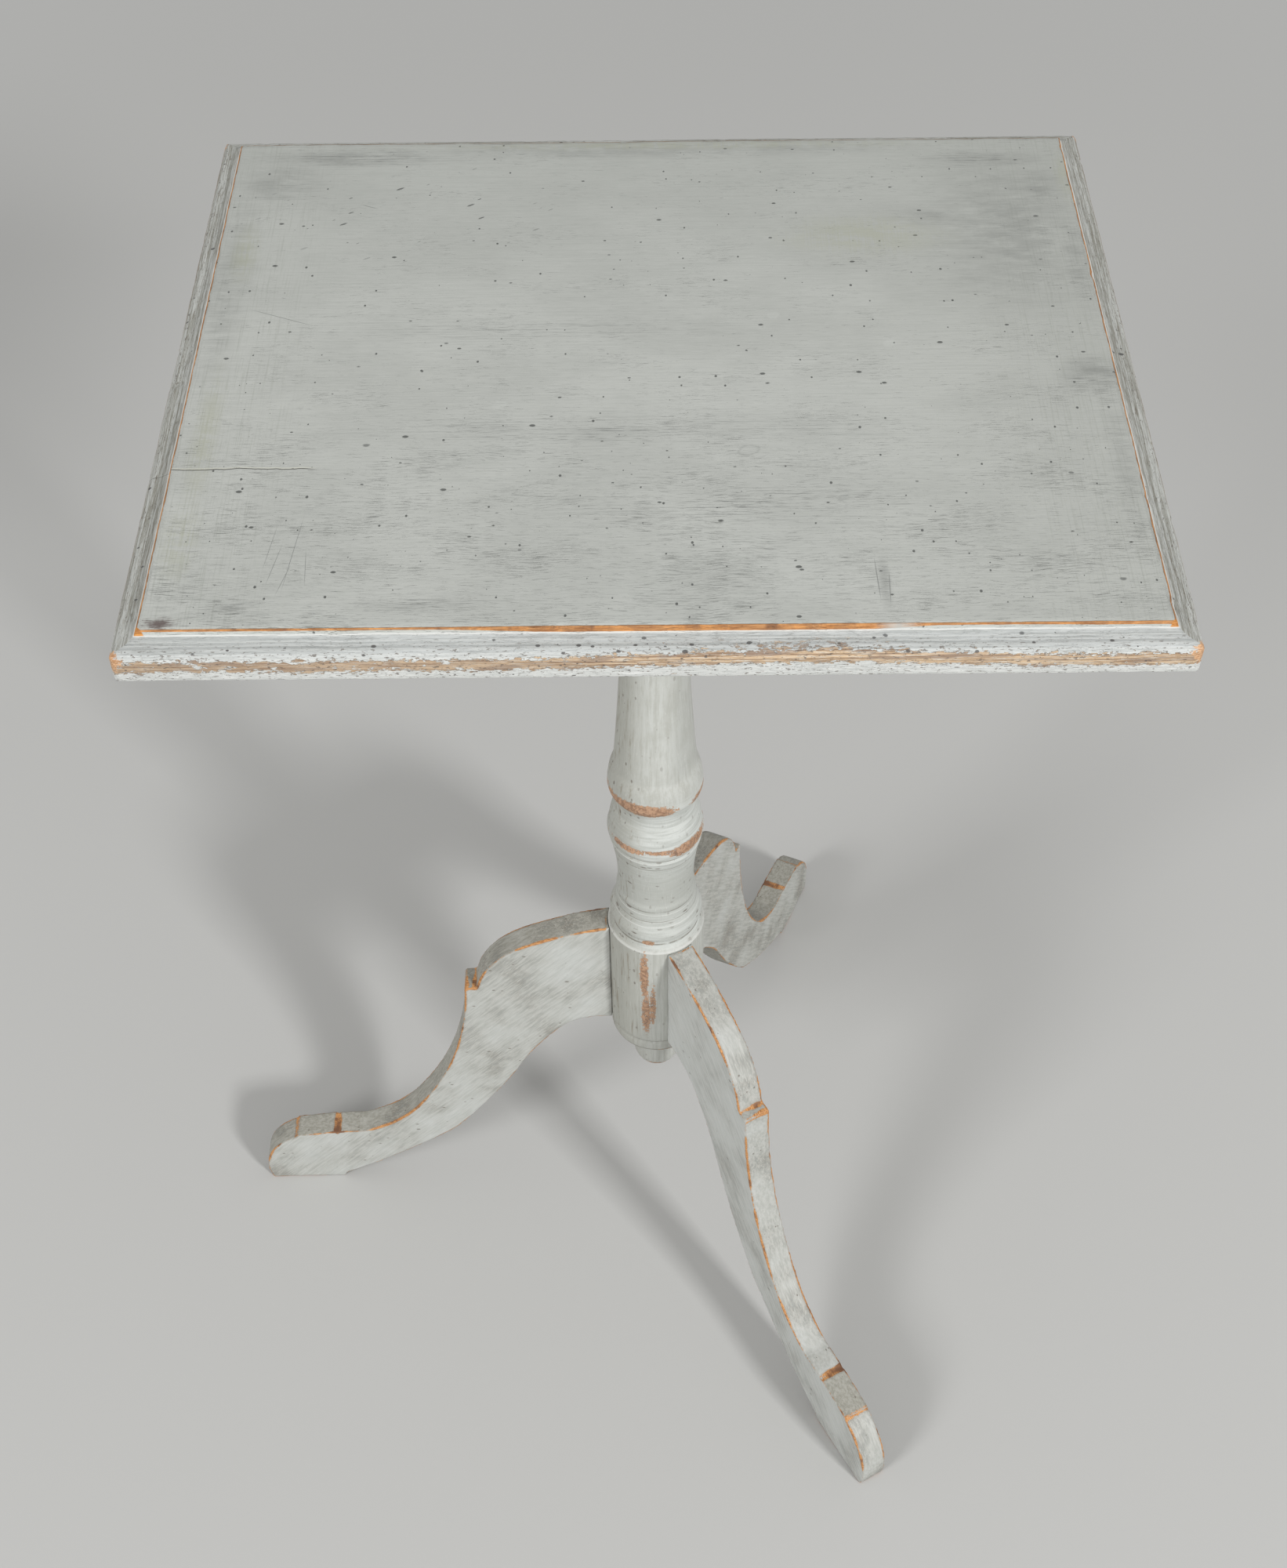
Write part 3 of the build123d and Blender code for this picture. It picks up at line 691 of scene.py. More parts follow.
# %% Worn arrises of the legs
wear = n.use(rubbed_arris, place, distance=n.stored("arris"), width=1.2)
paint = n.layers(
    paint, ((132, 120, 104), wear["Rim"], 0.3), (n.use(worn_wood, place), wear["Bare"])
)
relief = n.blend((strokes, 0.15), (fine, 0.2), (ticks, -0.5))
surface(n, shader, paint, n.plus(0.5, n.times(strokes, 0.2)), relief)

# %% Paint on the column
# Heights on the column are millimetres from the floor.
RINGS_START = (294.0, 299.0)
RINGS_END = (440.0, 424.0)
DRUM_TOP = (298.0, 292.0)
SHAFT_START = (445.0, 460.0)
NECK_MIDDLE = 345.0
column_paint, n, shader = new_material("column_paint")
here = millimetres(n, axis)
x, y, z = n.split(here)
upright = n.vector(z, x, y)
strokes = n.use(brush_strokes, upright, length=50.0, width=2.2)
fine = n.use(brush_strokes, upright, length=12.0, width=0.6)
around = n.mottle(here, (0.04, 0.04, 0.55), detail=3.0, rough=0.6)
blotch = n.mottle(here, (0.06, 0.06, 0.05), detail=4.0, rough=0.65)
on_rings = n.times(n.fade(z, *RINGS_START), n.fade(z, *RINGS_END))
# on_left is the column's left side: the coat laid on it alone is painted shade, and its streaks and specks
# are dirt.
on_left = n.fade(n.plus(x, n.times(blotch, 14.0)), 4.0, -14.0)
streaks = n.fade(n.blend((strokes, 0.6), (fine, 0.4)), 0.54, 0.6)
mottled = n.blend((strokes, 0.5), (blotch, 0.5))
plain = n.tones(mottled, 0.4, 0.62, (192, 194, 189), (176, 177, 170))
ringed = n.tones(around, 0.34, 0.68, (203, 206, 202), (180, 183, 178))
on_drum = n.tones(strokes, 0.36, 0.66, (184, 185, 179), (168, 169, 162))
paint = n.layers(
    n.mix(on_rings, plain, ringed),
    (on_drum, n.fade(z, *DRUM_TOP), 0.6),
    # Painted shade on the column's left side.
    ((158, 158, 149), on_left, 0.68),
    ((170, 172, 166), n.bump_at(z, NECK_MIDDLE, 50.0), 0.85),
    ((166, 168, 163), n.fade(x, 4.0, 16.0), n.fade(z, *SHAFT_START), 0.4),
    ((150, 150, 142), n.fade(fine, 0.56, 0.72), 0.3),
    ((214, 215, 211), n.fade(fine, 0.42, 0.28), 0.35),
    ((126, 114, 96), n.times(on_left, streaks, n.fade(blotch, 0.4, 0.56)), 0.6),
)

# %% Ticks and turned lines of the column
# Each line is (height, half width, tone). The pale lines are painted highlights along the arrises of the
# rings, and the dark lines are painted shade and dirt in the quirks and grooves and between drum and drop.
TURNED_LINES = (
    (384.4, 0.7, "pale"), (382.7, 0.55, "dark"), (381.0, 0.5, "pale"), (374.0, 0.5, "dark"),
    (329.2, 0.9, "dark"), (326.8, 0.5, "pale"), (321.0, 0.45, "dark"), (317.0, 0.5, "pale"),
    (300.4, 1.3, "dark"), (294.9, 0.9, "pale"), (196.4, 0.9, "dark"), (187.0, 0.8, "dark"),
)
TICKED_FROM = (290.0, 300.0)
TICKED_TO = (395.0, 372.0)
ticks = n.use(flecks, n.placed(here, scale=(0.35, 0.35, 1.0)), spacing=2.9, size=0.95, amount=0.6)
ticks = n.times(ticks, n.fade(z, *TICKED_FROM), n.fade(z, *TICKED_TO), n.fade(blotch, 0.36, 0.5))
specks = n.use(flecks, n.placed(here, (4, 9, 2), (1, 1, 0.5)), spacing=3.6, size=0.95, amount=0.4)
marks = n.most(ticks, n.times(specks, n.plus(0.4, n.times(on_left, 0.6))))
wavering = n.plus(z, n.times(n.less(blotch, 0.5), 0.8))
tones = {"dark": ((106, 100, 88), n.fade(blotch, 0.3, 0.5), 0.8), "pale": ((216, 217, 213), 0.55)}
turned_lines = []
for height, half, tone in TURNED_LINES:
    colour, *masks = tones[tone]
    turned_lines.append((colour, n.bump_at(wavering, height, half), *masks))
paint = n.layers(paint, ((100, 90, 80), marks, 0.75), *turned_lines)

# %% Worn places of the column
# Each worn place is an oval on the side that faces forward: (across, up), (half width, half height),
# strength. Each worn ring is (height, half width), for the sides and the back.
WORN_PLACES = (
    ((-9, 429.0), (25, 6.5), 1.0), ((27, 428.0), (7, 4.0), 0.8), ((19, 391.0), (12, 5.0), 1.0),
    ((-16, 391.6), (14, 2.6), 0.75), ((2, 392.6), (28, 1.8), 0.7), ((-5, 301.2), (5, 2.6), 1.0),
    ((-8, 268.0), (3.4, 30), 0.9), ((-7, 228.0), (3.8, 26), 0.85), ((-2.5, 238.0), (2.6, 26), 0.75),
    ((-1, 143.5), (10, 6.5), 1.0), ((10, 186.0), (18, 1.8), 0.6),
)
WORN_RINGS = ((429.0, 4.0), (391.5, 2.2), (300.8, 2.0))
facing = n.vector(x, z, 0.0)
sides = n.mottle(here, (0.035, 0.035, 0.03), detail=3.0, rough=0.6, move=(6, 1, 4))
crumble = n.mottle(here, (0.45, 0.45, 0.4), detail=4.0, rough=0.75)
bare = 0.0
for middle, radii, strength in WORN_PLACES:
    bare = n.most(bare, n.times(n.fade(n.oval(facing, middle, radii), 1.25, 0.45), strength))
bare = n.times(bare, n.fade(y, 6.0, -2.0))
for height, half in WORN_RINGS:
    ring = n.times(n.bump_at(z, height, half), n.fade(sides, 0.5, 0.62), n.fade(y, -4.0, 4.0))
    bare = n.most(bare, ring)
torn = n.blend((blotch, 0.4), (crumble, 1.5), (around, on_rings, 0.35), (bare, 0.6))
tougher = n.times(on_rings, 0.17)
torn = n.fade(torn, n.plus(1.22, tougher), n.plus(1.32, tougher))
bare = n.times(torn, n.fade(bare, 0.02, 0.1))
wood = n.layers(
    n.use(worn_wood, n.vector(n.times(z, n.less(1.0, on_rings)), x, y)),
    (n.tones(crumble, 0.42, 0.58, (126, 102, 86), (182, 150, 126)), 0.8),
)
paint = n.layers(paint, (wood, bare), ((120, 104, 88), n.bump_at(bare, 0.3, 0.3), 0.4))
relief = n.blend((strokes, 0.12), (fine, 0.2), (around, on_rings, 0.12), (marks, -0.5), (bare, -0.4))
surface(n, shader, paint, n.plus(0.5, n.times(strokes, 0.2)), relief)

# %% [markdown]
# ## Bare wood and iron underneath
#
# Nothing under the top was ever painted: its three boards, the battens and the head block are pine gone
# brown with age, the pins and the turn button are birch, and the nails and the screw are dull iron.
# Handled arrises are paler than the faces, so this wood too reads a stored distance from the nearest one.

# %% Bare wood


def bare_wood(name, pale, dark, along_y, joints=()):
    """Aged unpainted wood with its grain along X or along Y, and glue joints at the given places in Y."""
    material, n, shader = new_material(name)
    here = millimetres(n)
    x, y, z = n.split(here)
    run = n.vector(y, x, z) if along_y else here
    rings = n.use(brush_strokes, run, length=160.0, width=5.0)
    fibre = n.use(brush_strokes, run, length=18.0, width=0.5)
    stain = n.mottle(here, 0.02, detail=4.0, rough=0.6)
    arris = n.stored("arris")
    worn = n.times(n.fade(arris, 1.4, 0.2), n.fade(arris, 0.0, 0.01))
    across = n.plus(y, n.times(fibre, 0.3))
    colour = n.layers(
        n.tones(rings, 0.35, 0.65, pale, dark),
        ((104, 82, 60), n.fade(stain, 0.4, 0.66), 0.5),
        ((80, 60, 42), n.fade(fibre, 0.5, 0.75), 0.4),
        ((186, 156, 118), worn, 0.35),
        *[((44, 34, 26), n.bump_at(across, joint, 0.6), 0.85) for joint in joints],
    )
    surface(n, shader, colour, n.plus(0.55, n.times(fibre, 0.3)), fibre)
    return material


board_joints = [high.y / MM for low, high in sorted(board_boxes, key=lambda box: box[0].y)[:-1]]
boards_below = bare_wood("boards_below", (150, 122, 92), (122, 96, 70), False, board_joints)
pine_across = bare_wood("pine_across", (158, 126, 90), (126, 94, 64), along_y=True)
pine_along = bare_wood("pine_along", (152, 120, 86), (120, 90, 60), along_y=False)
birch = bare_wood("birch", (140, 102, 68), (108, 76, 50), along_y=True)
print("glue joints at y, mm:", [round(place, 1) for place in board_joints])

# %% Iron
iron, n, shader = new_material("iron")
rust = n.noise(millimetres(n), detail=3.0, scale=0.7)
n.feed(shader.inputs["Base Color"], n.tones(rust, 0.45, 0.7, (66, 62, 58), (98, 74, 56)))
n.feed(shader.inputs["Roughness"], n.plus(0.4, n.times(rust, 0.3)))
shader.inputs["Metallic"].default_value = 0.8

# %% Finishes of the pieces that keep the frame's own shapes
CARRIED = {
    "board_tongues": pine_along,
    "tenon_wedge": birch,
    "pivot_pin_left": birch,
    "pivot_pin_right": birch,
    "button_screw": iron,
    "button_washer": iron,
}
for name, material in CARRIED.items():
    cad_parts[name].data.materials.clear()
    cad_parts[name].data.materials.append(material)
print("frame pieces in view:", ", ".join(CARRIED))

# %% [markdown]
# ## Tools for shaping
#
# Operators act on whatever is selected, and the loader leaves the whole frame selected, so each step
# starts by selecting one thing. The other helpers read and write all of a mesh's points at once.

# %% Selecting and moving points


def only(*pieces):
    """Select these objects and nothing else, with the first of them active."""
    bpy.ops.object.select_all(action="DESELECT")
    for piece in pieces:
        piece.select_set(True)
    bpy.context.view_layer.objects.active = pieces[0]


@contextmanager
def edit_mode(select="SELECT"):
    """Edit the active object, with all of it selected, none ("DESELECT"), or what was before (None)."""
    bpy.ops.object.mode_set(mode="EDIT")
    if select:
        bpy.ops.mesh.select_all(action=select)
    yield
    bpy.ops.object.mode_set(mode="OBJECT")


def per_point(piece, field):
    """Three numbers for each of a mesh's points, as rows."""
    flat = np.empty(len(piece.data.vertices) * 3)
    piece.data.vertices.foreach_get(field, flat)
    return flat.reshape(-1, 3)


def points(piece):
    """A mesh's points as rows of x, y, z in millimetres."""
    return per_point(piece, "co") / MM


def normals(piece):
    """The direction that each point faces."""
    return per_point(piece, "normal")


def set_points(piece, rows):
    """Put a mesh's points at these places, in millimetres."""
    piece.data.vertices.foreach_set("co", (rows * MM).ravel())
    piece.data.update()


def push_out(piece, rows, amounts, lowest=-np.inf):
    """Move points from rows along their normals by amounts, but none below the lowest height."""
    rows = rows + normals(piece) * amounts[:, None]
    rows[:, 2] = np.maximum(rows[:, 2], lowest)
    set_points(piece, rows)


def ripple(rows, length, seed):
    """Smooth noise from -1 to 1 over the points, with waves about length millimetres long."""
    shift = Vector((seed * 17.3, seed * 5.1, seed * 9.7))
    return np.array([noise.noise(Vector(row) / length + shift) for row in rows])


def dressed(piece, *materials):
    """Give a shaped piece its materials, shade it smoothly, and say how fine it is."""
    for material in materials:
        piece.data.materials.append(material)
    only(piece)
    bpy.ops.object.shade_smooth()
    print(piece.name, "faces:", len(piece.data.polygons))


# %% [markdown]
# ## The moulded top
#
# The top is three glued boards with one moulding worked round all of them, and the paint hides the joints,
# so it is one skin. A grid a little smaller than the raised field comes first. Its border is then extruded
# again and again, each time stretched to the next line of the moulding and lowered to it, which keeps the
# mitred corners true. The outer corners are rubbed round, and last the edges are knocked about a little.

# %% Lines of the moulding
# Each line is (outward from the step, down from the field), in millimetres.
NOSE_CENTRE = (6.0, 9.8)
NOSE_RADIUS = 5.5
nose = [
    (NOSE_CENTRE[0] + NOSE_RADIUS * cos(radians(a)), NOSE_CENTRE[1] - NOSE_RADIUS * sin(radians(a)))
    for a in (74, 62, 50, 38, 26, 13, 0)
]
moulding_lines = [
    (-1.3, 0.03), (-0.7, 0.15), (-0.25, 0.5), (0.0, 1.1), (0.1, 1.8), (0.3, 2.25),
    (0.9, 2.55), (1.8, 3.1), (3.0, 3.7), (4.4, 4.15), (5.8, 4.4), (6.8, 4.45),
    *nose,
    (11.5, 11.8), (11.45, 13.8), (11.4, 15.8), (11.35, 17.6), (11.2, 19.0), (10.8, 19.7),
    (10.0, 20.0), (2.0, 20.0),
]
print("lines of the moulding:", len(moulding_lines))

# %% Draw the field and run the moulding round it
FIELD_MARGIN = 2.0
GRID_STEP = 2.0
half_x = field_half_x - FIELD_MARGIN
half_y = field_half_y - FIELD_MARGIN
bpy.ops.mesh.primitive_grid_add(
    x_subdivisions=round(2 * half_x / GRID_STEP), y_subdivisions=round(2 * half_y / GRID_STEP), size=1.0
)
tabletop = bpy.context.object
tabletop.name = "tabletop"
tabletop.scale = (2 * half_x * MM, 2 * half_y * MM, 1.0)
tabletop.location = field_middle
bpy.ops.object.transform_apply(location=True, scale=True)
with edit_mode("DESELECT"):
    bpy.ops.mesh.select_mode(type="EDGE")
    bpy.ops.mesh.select_non_manifold()
    drop_before = 0.0
    for reach, drop in moulding_lines:
        next_x = field_half_x + reach
        next_y = field_half_y + reach
        bpy.ops.mesh.extrude_edges_move()
        bpy.ops.transform.resize(
            value=(next_x / half_x, next_y / half_y, 1.0), center_override=field_middle
        )
        bpy.ops.transform.translate(value=(0, 0, (drop_before - drop) * MM))
        half_x, half_y, drop_before = next_x, next_y, drop
    bpy.ops.mesh.edge_face_add()
    bpy.ops.mesh.select_all(action="SELECT")
    bpy.ops.mesh.normals_make_consistent(inside=False)

# %% Rub the corners round
CORNER_RADIUS = 5.0
rows = points(tabletop)
middle = np.array(field_middle[:2]) / MM
corner_centre = np.array([outer_half_x, outer_half_y]) - CORNER_RADIUS
flat = rows[:, :2] - middle
past = np.abs(flat) - corner_centre
span = np.hypot(*past.T)
corner = ((past > 0).all(axis=1) & (span > CORNER_RADIUS))[:, None]
shrink = CORNER_RADIUS / np.maximum(span, CORNER_RADIUS)[:, None]
rows[:, :2] = np.where(corner, np.sign(flat) * (corner_centre + past * shrink), flat) + middle
set_points(tabletop, rows)
print("points drawn in at the corners:", int(corner.sum()))

# %% Knock the edges about
# Edges are knocked from just inside the step to just above the underside; the deepest dents chip.
KNOCKED_FROM = -1.6
KNOCKED_DOWN_TO = 19.9
CHIP_FROM = 0.42
rows = points(tabletop)
beyond = (np.abs(rows[:, :2] - middle) - (field_half_x, field_half_y)).max(axis=1)
on_edge = (beyond > KNOCKED_FROM) & (top_high.z / MM - rows[:, 2] < KNOCKED_DOWN_TO)
edge = rows[on_edge]
knock = np.zeros(len(rows))
knock[on_edge] = 0.18 * ripple(edge, 14.0, 1) + 0.16 * ripple(edge, 4.0, 2) - 0.16
knock[on_edge] -= 1.6 * np.maximum(ripple(edge, 7.0, 3) - CHIP_FROM, 0.0)
push_out(tabletop, rows, knock)
dressed(tabletop, top_paint, boards_below)
for face in tabletop.data.polygons:
    if face.normal.z < -0.9 and face.center.z < top_low.z + 0.3 * MM:
        face.material_index = 1
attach(tabletop, "top")
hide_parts(*BOARDS)

# %% [markdown]
# ## The turned column and its drop
#
# A turned piece is an outline spun about an axis. The outline is drawn as a line of points up one side,
# with the round stretches worked out as arcs through three points, then spun a full turn and its seam
# merged. Points are kept close together, so that the surface can take the dents of use afterwards.

# %% Outline helpers


def arc_points(first, middle, last, count):
    """Points along the circle through three points, the first one left out."""
    (ax, ay), (bx, by), (cx, cy) = first, middle, last
    a2, b2, c2 = ax**2 + ay**2, bx**2 + by**2, cx**2 + cy**2
    d = 2 * (ax * (by - cy) + bx * (cy - ay) + cx * (ay - by))
    ux = (a2 * (by - cy) + b2 * (cy - ay) + c2 * (ay - by)) / d
    uy = (a2 * (cx - bx) + b2 * (ax - cx) + c2 * (bx - ax)) / d
    start = np.arctan2(ay - uy, ax - ux)
    sweep = (np.arctan2(cy - uy, cx - ux) - start + pi) % (2 * pi) - pi
    radius = np.hypot(ax - ux, ay - uy)
    steps = np.linspace(0, sweep, count + 1)[1:]
    return [(ux + radius * cos(start + s), uy + radius * sin(start + s)) for s in steps]


def outline(*parts):
    """Join corner points and arcs into one outline; an arc is (middle point, end point, count)."""
    line = [parts[0]]
    for part in parts[1:]:
        if len(part) == 3:
            line += arc_points(line[-1], *part)
        else:
            line.append(part)
    return line


def divided(line, longest):
    """The outline with every stretch longer than longest cut into equal shorter ones."""
    close = [line[0]]
    for (r0, z0), (r1, z1) in zip(line[:-1], line[1:]):
        count = max(1, int(np.ceil(np.hypot(r1 - r0, z1 - z0) / longest)))
        close += [(r0 + (r1 - r0) * i / count, z0 + (z1 - z0) * i / count) for i in range(1, count + 1)]
    return close


# %% The lathe
LATHE_STEPS = 112
SEAM = 0.02 * MM


def turned_piece(name, line):
    """Spin an outline of (radius, height) millimetres about the column's axis."""
    curve = bpy.data.curves.new(name, "CURVE")
    curve.dimensions = "3D"
    spline = curve.splines.new("POLY")
    spline.points.add(len(line) - 1)
    for point, (radius, height) in zip(spline.points, line):
        point.co = (axis.x + radius * MM, axis.y, height * MM, 1.0)
    piece = bpy.data.objects.new(name, curve)
    bpy.context.scene.collection.objects.link(piece)
    only(piece)
    bpy.ops.object.convert(target="MESH")
    with edit_mode():
        bpy.ops.mesh.spin(steps=LATHE_STEPS, angle=2 * pi, center=axis, axis=(0, 0, 1))
        bpy.ops.mesh.select_all(action="SELECT")
        bpy.ops.mesh.remove_doubles(threshold=SEAM)
        bpy.ops.mesh.normals_make_consistent(inside=False)
    return bpy.context.object


# %% The column
DRUM = 31.0
SHOULDER = 683.0
column_line = outline(
    (0.0, 197.0), (29.0, 197.0), (30.6, 197.3), (DRUM, 198.2),
    (DRUM, 293.6), ((30.8, 294.9), (29.8, 295.3), 3),
    (28.6, 296.6), (27.5, 299.3), (27.4, 303.6), (28.2, 304.5),
    ((29.3, 308.0), (28.6, 312.5), 6), ((27.2, 316.8), (25.8, 320.5), 5), (25.2, 327.4), (24.5, 328.6),
    ((24.95, 331.5), (23.9, 334.8), 5), ((24.1, 350.0), (28.0, 379.4), 16),
    (28.35, 380.2), (28.3, 381.3), (27.4, 382.4), (27.5, 383.2), (28.9, 384.6),
    ((29.6, 388.0), (29.15, 391.8), 5), (28.7, 392.6), ((27.4, 401.5), (24.9, 410.0), 8),
    ((25.0, 417.0), (27.5, 425.2), 8), (28.2, 426.0), (28.8, 428.5), (28.6, 433.0), (28.2, 434.4),
    ((27.6, 440.0), (24.9, 447.4), 6), ((20.4, 516.0), (17.5, 667.0), 60),
    (18.4, 668.6), (20.9, 670.6), (21.0, 683.9), (0.0, 683.9),
)
column = turned_piece("turned_column", divided(column_line, 2.6))
rows = points(column)
dents = 0.10 * ripple(rows, 22.0, 4) + 0.05 * ripple(rows, 6.0, 5)
push_out(column, rows, np.where(rows[:, 2] < SHOULDER, dents, 0.0))
dressed(column, column_paint)
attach(column, "stand")
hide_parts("column")

# %% The drop
drop_line = outline(
    (0.0, 139.6), ((5.5, 140.1), (10.2, 142.0), 5), ((13.6, 146.0), (15.4, 152.0), 6), (15.6, 153.5),
    (15.6, 172.0), ((16.6, 176.6), (19.0, 179.3), 5), (24.6, 181.4), (26.8, 182.6),
    ((29.4, 185.4), (30.3, 190.0), 6), (30.3, 192.6), (29.9, 193.6), (29.5, 195.0), (29.9, 196.0),
    (0.0, 196.0),
)
drop = turned_piece("turned_drop", divided(drop_line, 2.2))
dressed(drop, column_paint)
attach(drop, "stand")
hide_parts("column_drop")

# %% [markdown]
# ## The scroll legs
#
# A leg's outline was sawn from a board, and the frame already has it exactly, so each skin starts as a
# merged copy of the leg. A fine remesh gives it small even faces, which round its arrises and can be
# dented. Before the remesh the sharp edges of the copy are noted down, because the finish asks every point
# how far it lies from the nearest arris.

# %% A copy of a frame piece, and its sharp edges
SHARP = radians(25)
WELD = 0.01 * MM
EDGE_SPACING = 0.6
FACING_DOWN = -0.1
MOSTLY_ACROSS = 0.6
# How slowly an arris wears, as a factor on the distance from it.
TURNED_DOWN = 1.6
ACROSS_THE_LEG = 0.75


def merged_copy(node, name):
    """A copy of a CAD node with its loose triangles joined, ready to be worked on."""
    piece = bpy.data.objects.new(name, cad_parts[node].data.copy())
    bpy.context.scene.collection.objects.link(piece)
    only(piece)
    bpy.ops.mesh.customdata_custom_splitnormals_clear()
    with edit_mode():
        bpy.ops.mesh.remove_doubles(threshold=WELD)
    return piece


def sharp_edge_points(piece, across):
    """Points along the edges where two faces meet at a marked angle, and how slowly each edge wears."""
    faces_of = {}
    for face in piece.data.polygons:
        for key in face.edge_keys:
            faces_of.setdefault(key, []).append(face.normal.copy())
    found = []
    slowness = []
    rows = points(piece)
    for key, around in faces_of.items():
        if len(around) == 2 and around[0].angle(around[1], 0.0) > SHARP:
            a, b = rows[key[0]], rows[key[1]]
            length = np.linalg.norm(b - a)
            slow = 1.0 if (around[0] + around[1]).z > FACING_DOWN else TURNED_DOWN
            if abs((b - a) / max(length, 1e-6) @ across) > MOSTLY_ACROSS:
                slow = ACROSS_THE_LEG
            count = max(1, int(length / EDGE_SPACING))
            found += [a + (b - a) * i / count for i in range(count + 1)]
            slowness += [slow] * (count + 1)
    return np.array(found), np.array(slowness)


# %% A finely meshed skin


def store(piece, name, kind, values):
    """Keep one value or vector for each point, for the finish to read."""
    layer = piece.data.attributes.new(name, kind, "POINT")
    field = "vector" if kind == "FLOAT_VECTOR" else "value"
    layer.data.foreach_set(field, np.ascontiguousarray(values, dtype=np.float32).ravel())


def skin_over(node, name, voxel, across=(0.0, 0.0, 0.0)):
    """A finely remeshed copy of a node, each point's distance from an arris, and how slowly that wears."""
    piece = merged_copy(node, name)
    edges, slowness = sharp_edge_points(piece, np.array(across))
    piece.data.remesh_voxel_size = voxel * MM
    bpy.ops.object.voxel_remesh()
    with edit_mode():
        bpy.ops.mesh.vertices_smooth(factor=0.5, repeat=2)
    piece.data.materials.clear()
    tree = KDTree(len(edges))
    for i, edge in enumerate(edges):
        tree.insert(edge, i)
    tree.balance()
    nearest = [tree.find(row) for row in points(piece)]
    arris = np.array([found[2] for found in nearest])
    return piece, arris, slowness[[found[1] for found in nearest]]


# %% Places and wear of the legs
# The foot's wear is given by reach, in millimetres outward from the column's axis.
LEG_VOXEL = 1.25
LEG_BEARINGS = {"leg_left": 181.0, "leg_front": 299.5, "leg_rear": 66.0}
PAD_RUN = (233.5, 261.5)
OUTER_GROOVE = 263.0
GROOVE_HALF = 2.0
GROOVE_ABOVE = 40.0
UNWORN = 20.0
# How soiled each leg is: its two flat sides, then its narrow top and bottom.
GRIME = {"leg_left": (0.42, 0.9), "leg_front": (0.22, 0.45), "leg_rear": (0.5, 1.3)}
# Painted shade: the faces of a leg that look down are darkened by this much more.
UNDER_SHADE = 0.2
PAD_GRIME = 0.5


def leg_wear(arris, reach, height, sideways):
    """Distance from a worn arris, with none inside the column and some in the foot's outer groove."""
    wearing = np.where(reach < DRUM + 0.5, UNWORN, arris)
    from_groove = np.abs(reach - OUTER_GROOVE)
    in_groove = (from_groove < GROOVE_HALF) & (sideways < 0.5) & (height > GROOVE_ABOVE)
    return np.where(in_groove, np.minimum(wearing, from_groove * 0.7), wearing)


def leg_grime_and_shade(node, reach, facing_up, sideways):
    """How soiled each point of a leg is, with painted shade added on the faces that look down."""
    side_grime, edge_grime = GRIME[node]
    flat_side = np.clip((sideways - 0.5) * 4, 0, 1)
    on_pad = (reach > PAD_RUN[0]) & (reach < PAD_RUN[1]) & (flat_side < 0.5)
    grime_and_shade = edge_grime + (side_grime - edge_grime) * flat_side
    return grime_and_shade + UNDER_SHADE * (facing_up < -0.5) + PAD_GRIME * on_pad


# %% Legs
for node, bearing in LEG_BEARINGS.items():
    out = np.array([cos(radians(bearing)), sin(radians(bearing)), 0.0])
    across = np.array([-out[1], out[0], 0.0])
    leg, arris, slowness = skin_over(node, node + "_painted", LEG_VOXEL, across)
    rows = points(leg)
    local = rows - np.array([axis.x, axis.y, 0.0]) / MM
    reach = local @ out
    facing = normals(leg)
    sideways = np.abs(facing @ across)
    store(leg, "leg_place", "FLOAT_VECTOR", np.column_stack([reach, rows[:, 2], local @ across]))
    store(leg, "arris", "FLOAT", leg_wear(arris * slowness, reach, rows[:, 2], sideways))
    store(leg, "grime_and_shade", "FLOAT", leg_grime_and_shade(node, reach, facing[:, 2], sideways))

    worn = np.clip(1 - arris / 3.0, 0, 1)
    dent = 0.16 * ripple(rows, 25.0, bearing) + worn * (0.25 * ripple(rows, 5.0, bearing + 1) - 0.2)
    push_out(leg, rows, dent, lowest=0.0)
    dressed(leg, leg_paint)
    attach(leg, "stand")
    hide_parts(node)

# %% [markdown]
# ## The block, the battens and the turn button
#
# The wooden parts under the top get the same kind of skin: remeshed finely enough to round their arrises
# by about a millimetre, then made a little uneven, as planed and handled wood is.

# %% Block, battens and button
SKINS = (
    ("pivot_block", "stand", 1.3, pine_along, "bare_pine"),
    ("batten_left", "top", 1.5, pine_across, "bare_pine"),
    ("batten_right", "top", 1.5, pine_across, "bare_pine"),
    ("turn_button", "button", 0.9, birch, "bare_birch"),
)
for node, body, voxel, material, slot in SKINS:
    part, arris = skin_over(node, node + "_worked", voxel)[:2]
    rows = points(part)
    push_out(part, rows, 0.06 * ripple(rows, 16.0, 6) - 0.08)
    store(part, "arris", "FLOAT", arris)
    dressed(part, material)
    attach(part, body)
    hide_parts(node)

# %% [markdown]
# ## Nail heads
#
# Wrought nails go up through the battens into the boards. A head is a square plate hammered to a low
# four-sided point. One is made and then copied to each place, and a ray sent straight up finds where the
# batten's lower side is there and how it leans.

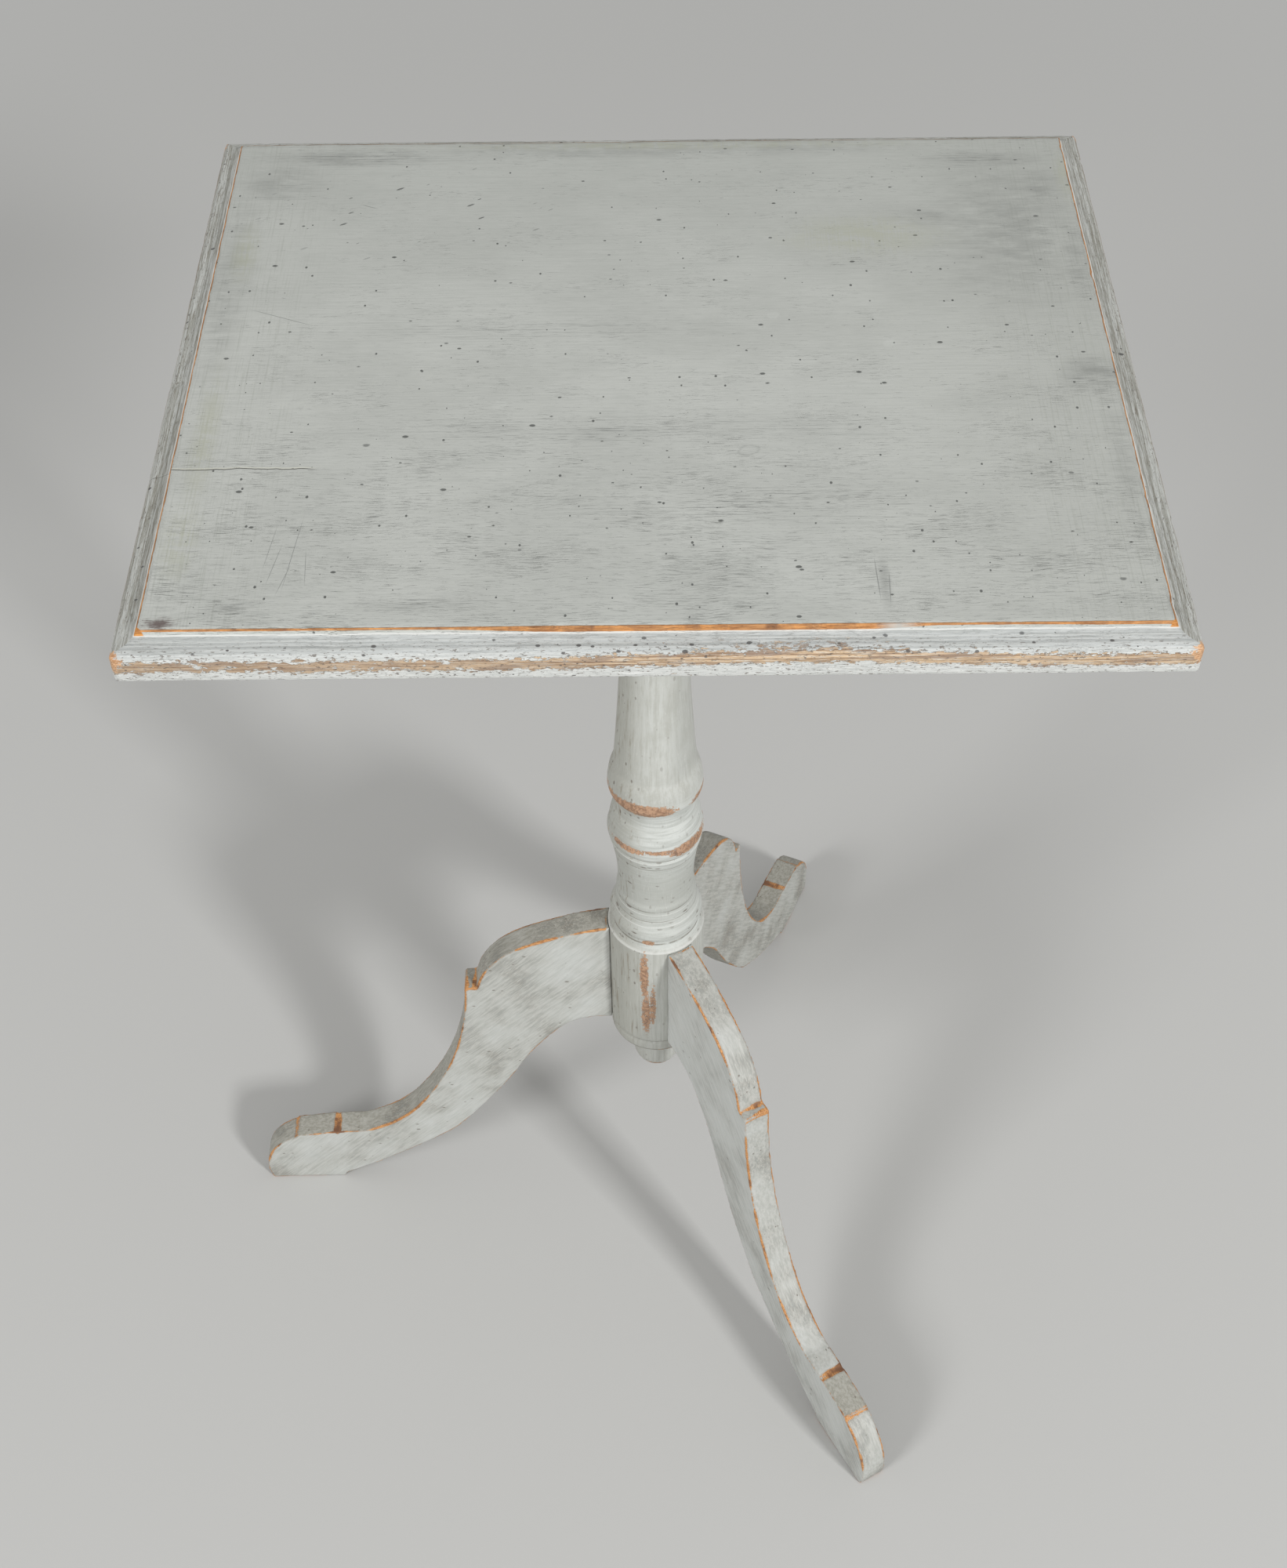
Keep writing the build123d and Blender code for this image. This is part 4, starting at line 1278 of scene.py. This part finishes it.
# %% One wrought head
HEAD_SIZE = 9.0
HEAD_DEPTH = 2.2
HEAD_POINT = 0.35
HEAD_BEVEL = 0.3
bpy.ops.mesh.primitive_cube_add(size=1.0, location=(0, 0, 0))
pattern = bpy.context.object
pattern.scale = (HEAD_SIZE * MM, HEAD_SIZE * MM, HEAD_DEPTH * MM)
bpy.ops.object.transform_apply(scale=True)
with edit_mode("DESELECT"):
    bpy.ops.mesh.select_mode(type="FACE")
for face in pattern.data.polygons:
    face.select = face.normal.z < -0.9
with edit_mode(select=None):
    bpy.ops.transform.resize(value=(HEAD_POINT, HEAD_POINT, 1.0))
    bpy.ops.mesh.select_all(action="SELECT")
    bpy.ops.mesh.bevel(offset=HEAD_BEVEL * MM, segments=2)
print("faces of a nail head:", len(pattern.data.polygons))

# %% A head under each nail
NAIL_ROWS = (-140.0, -20.0, 130.0)
# The ray starts beside the nail and well below the batten.
RAY_START = Vector((6.5, 0.0, -50.0))
heads = []
for side in ("left", "right"):
    batten = bpy.data.objects["batten_" + side + "_worked"].data
    faces = [face.vertices for face in batten.polygons]
    skin = BVHTree.FromPolygons([point.co for point in batten.vertices], faces)
    batten_low, batten_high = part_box("batten_" + side)
    middle_x = (batten_low.x + batten_high.x) / 2
    for row in NAIL_ROWS:
        start = Vector((middle_x, axis.y + row * MM, batten_low.z)) + RAY_START * MM
        place, normal = skin.ray_cast(start, Vector((0, 0, 1)))[:2]
        head = bpy.data.objects.new("nail_head", pattern.data.copy())
        bpy.context.scene.collection.objects.link(head)
        head.location = (middle_x, start.y, place.z)
        head.rotation_euler = normal.to_track_quat("-Z", "Y").to_euler()
        only(head)
        bpy.ops.object.transform_apply(location=True, rotation=True, scale=False)
        heads.append(head)
bpy.data.objects.remove(pattern)
only(*heads)
bpy.ops.object.join()
nail_heads = bpy.context.object
nail_heads.name = "nail_heads"
rows = points(nail_heads)
rows[:, 2] = np.maximum(rows[:, 2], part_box("batten_nails")[0].z / MM)
set_points(nail_heads, rows)
nail_heads.data.materials.append(iron)
print("nail_heads faces:", len(nail_heads.data.polygons))
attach(nail_heads, "top")
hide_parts("batten_nails")

# %% [markdown]
# ## The floor
#
# A plain pale floor, wide enough for every view, catches the two soft shadows. Far out, where the lamps
# hardly reach, the room's own tone takes over, for the camera and for reflections alone, so that the floor
# meets the room without a dark band. The light that falls on the table is not changed by it.

# %% Floor
FLOOR_RADIUS = 5.0
ROOM_TONE_RUN = (1.3, 3.4)
floor_paint, n, shader = new_material("floor_paint")
shader.inputs["Base Color"].default_value = srgb(191, 191, 189)
shader.inputs["Roughness"].default_value = 0.9
from_middle = n.add("TexCoord").outputs["Object"]
away = n.add("VectorMath", {0: from_middle}, operation="LENGTH").outputs["Value"]
rays = n.add("LightPath").outputs
looked_at = n.most(rays["Is Camera Ray"], rays["Is Glossy Ray"], rays["Is Transmission Ray"])
shown = n.times(n.fade(away, *ROOM_TONE_RUN), looked_at)
room_tone = n.add("Emission", {"Color": ROOM_COLOUR, "Strength": WORLD_STRENGTH}).outputs[0]
faded = n.add("MixShader", {0: shown, 1: shader.outputs[0], 2: room_tone}).outputs[0]
n.feed(floor_paint.node_tree.nodes["Material Output"].inputs["Surface"], faded)
bpy.ops.mesh.primitive_circle_add(vertices=96, radius=FLOOR_RADIUS, fill_type="NGON", location=axis)
floor = bpy.context.object
floor.name = "floor"
floor.data.materials.append(floor_paint)
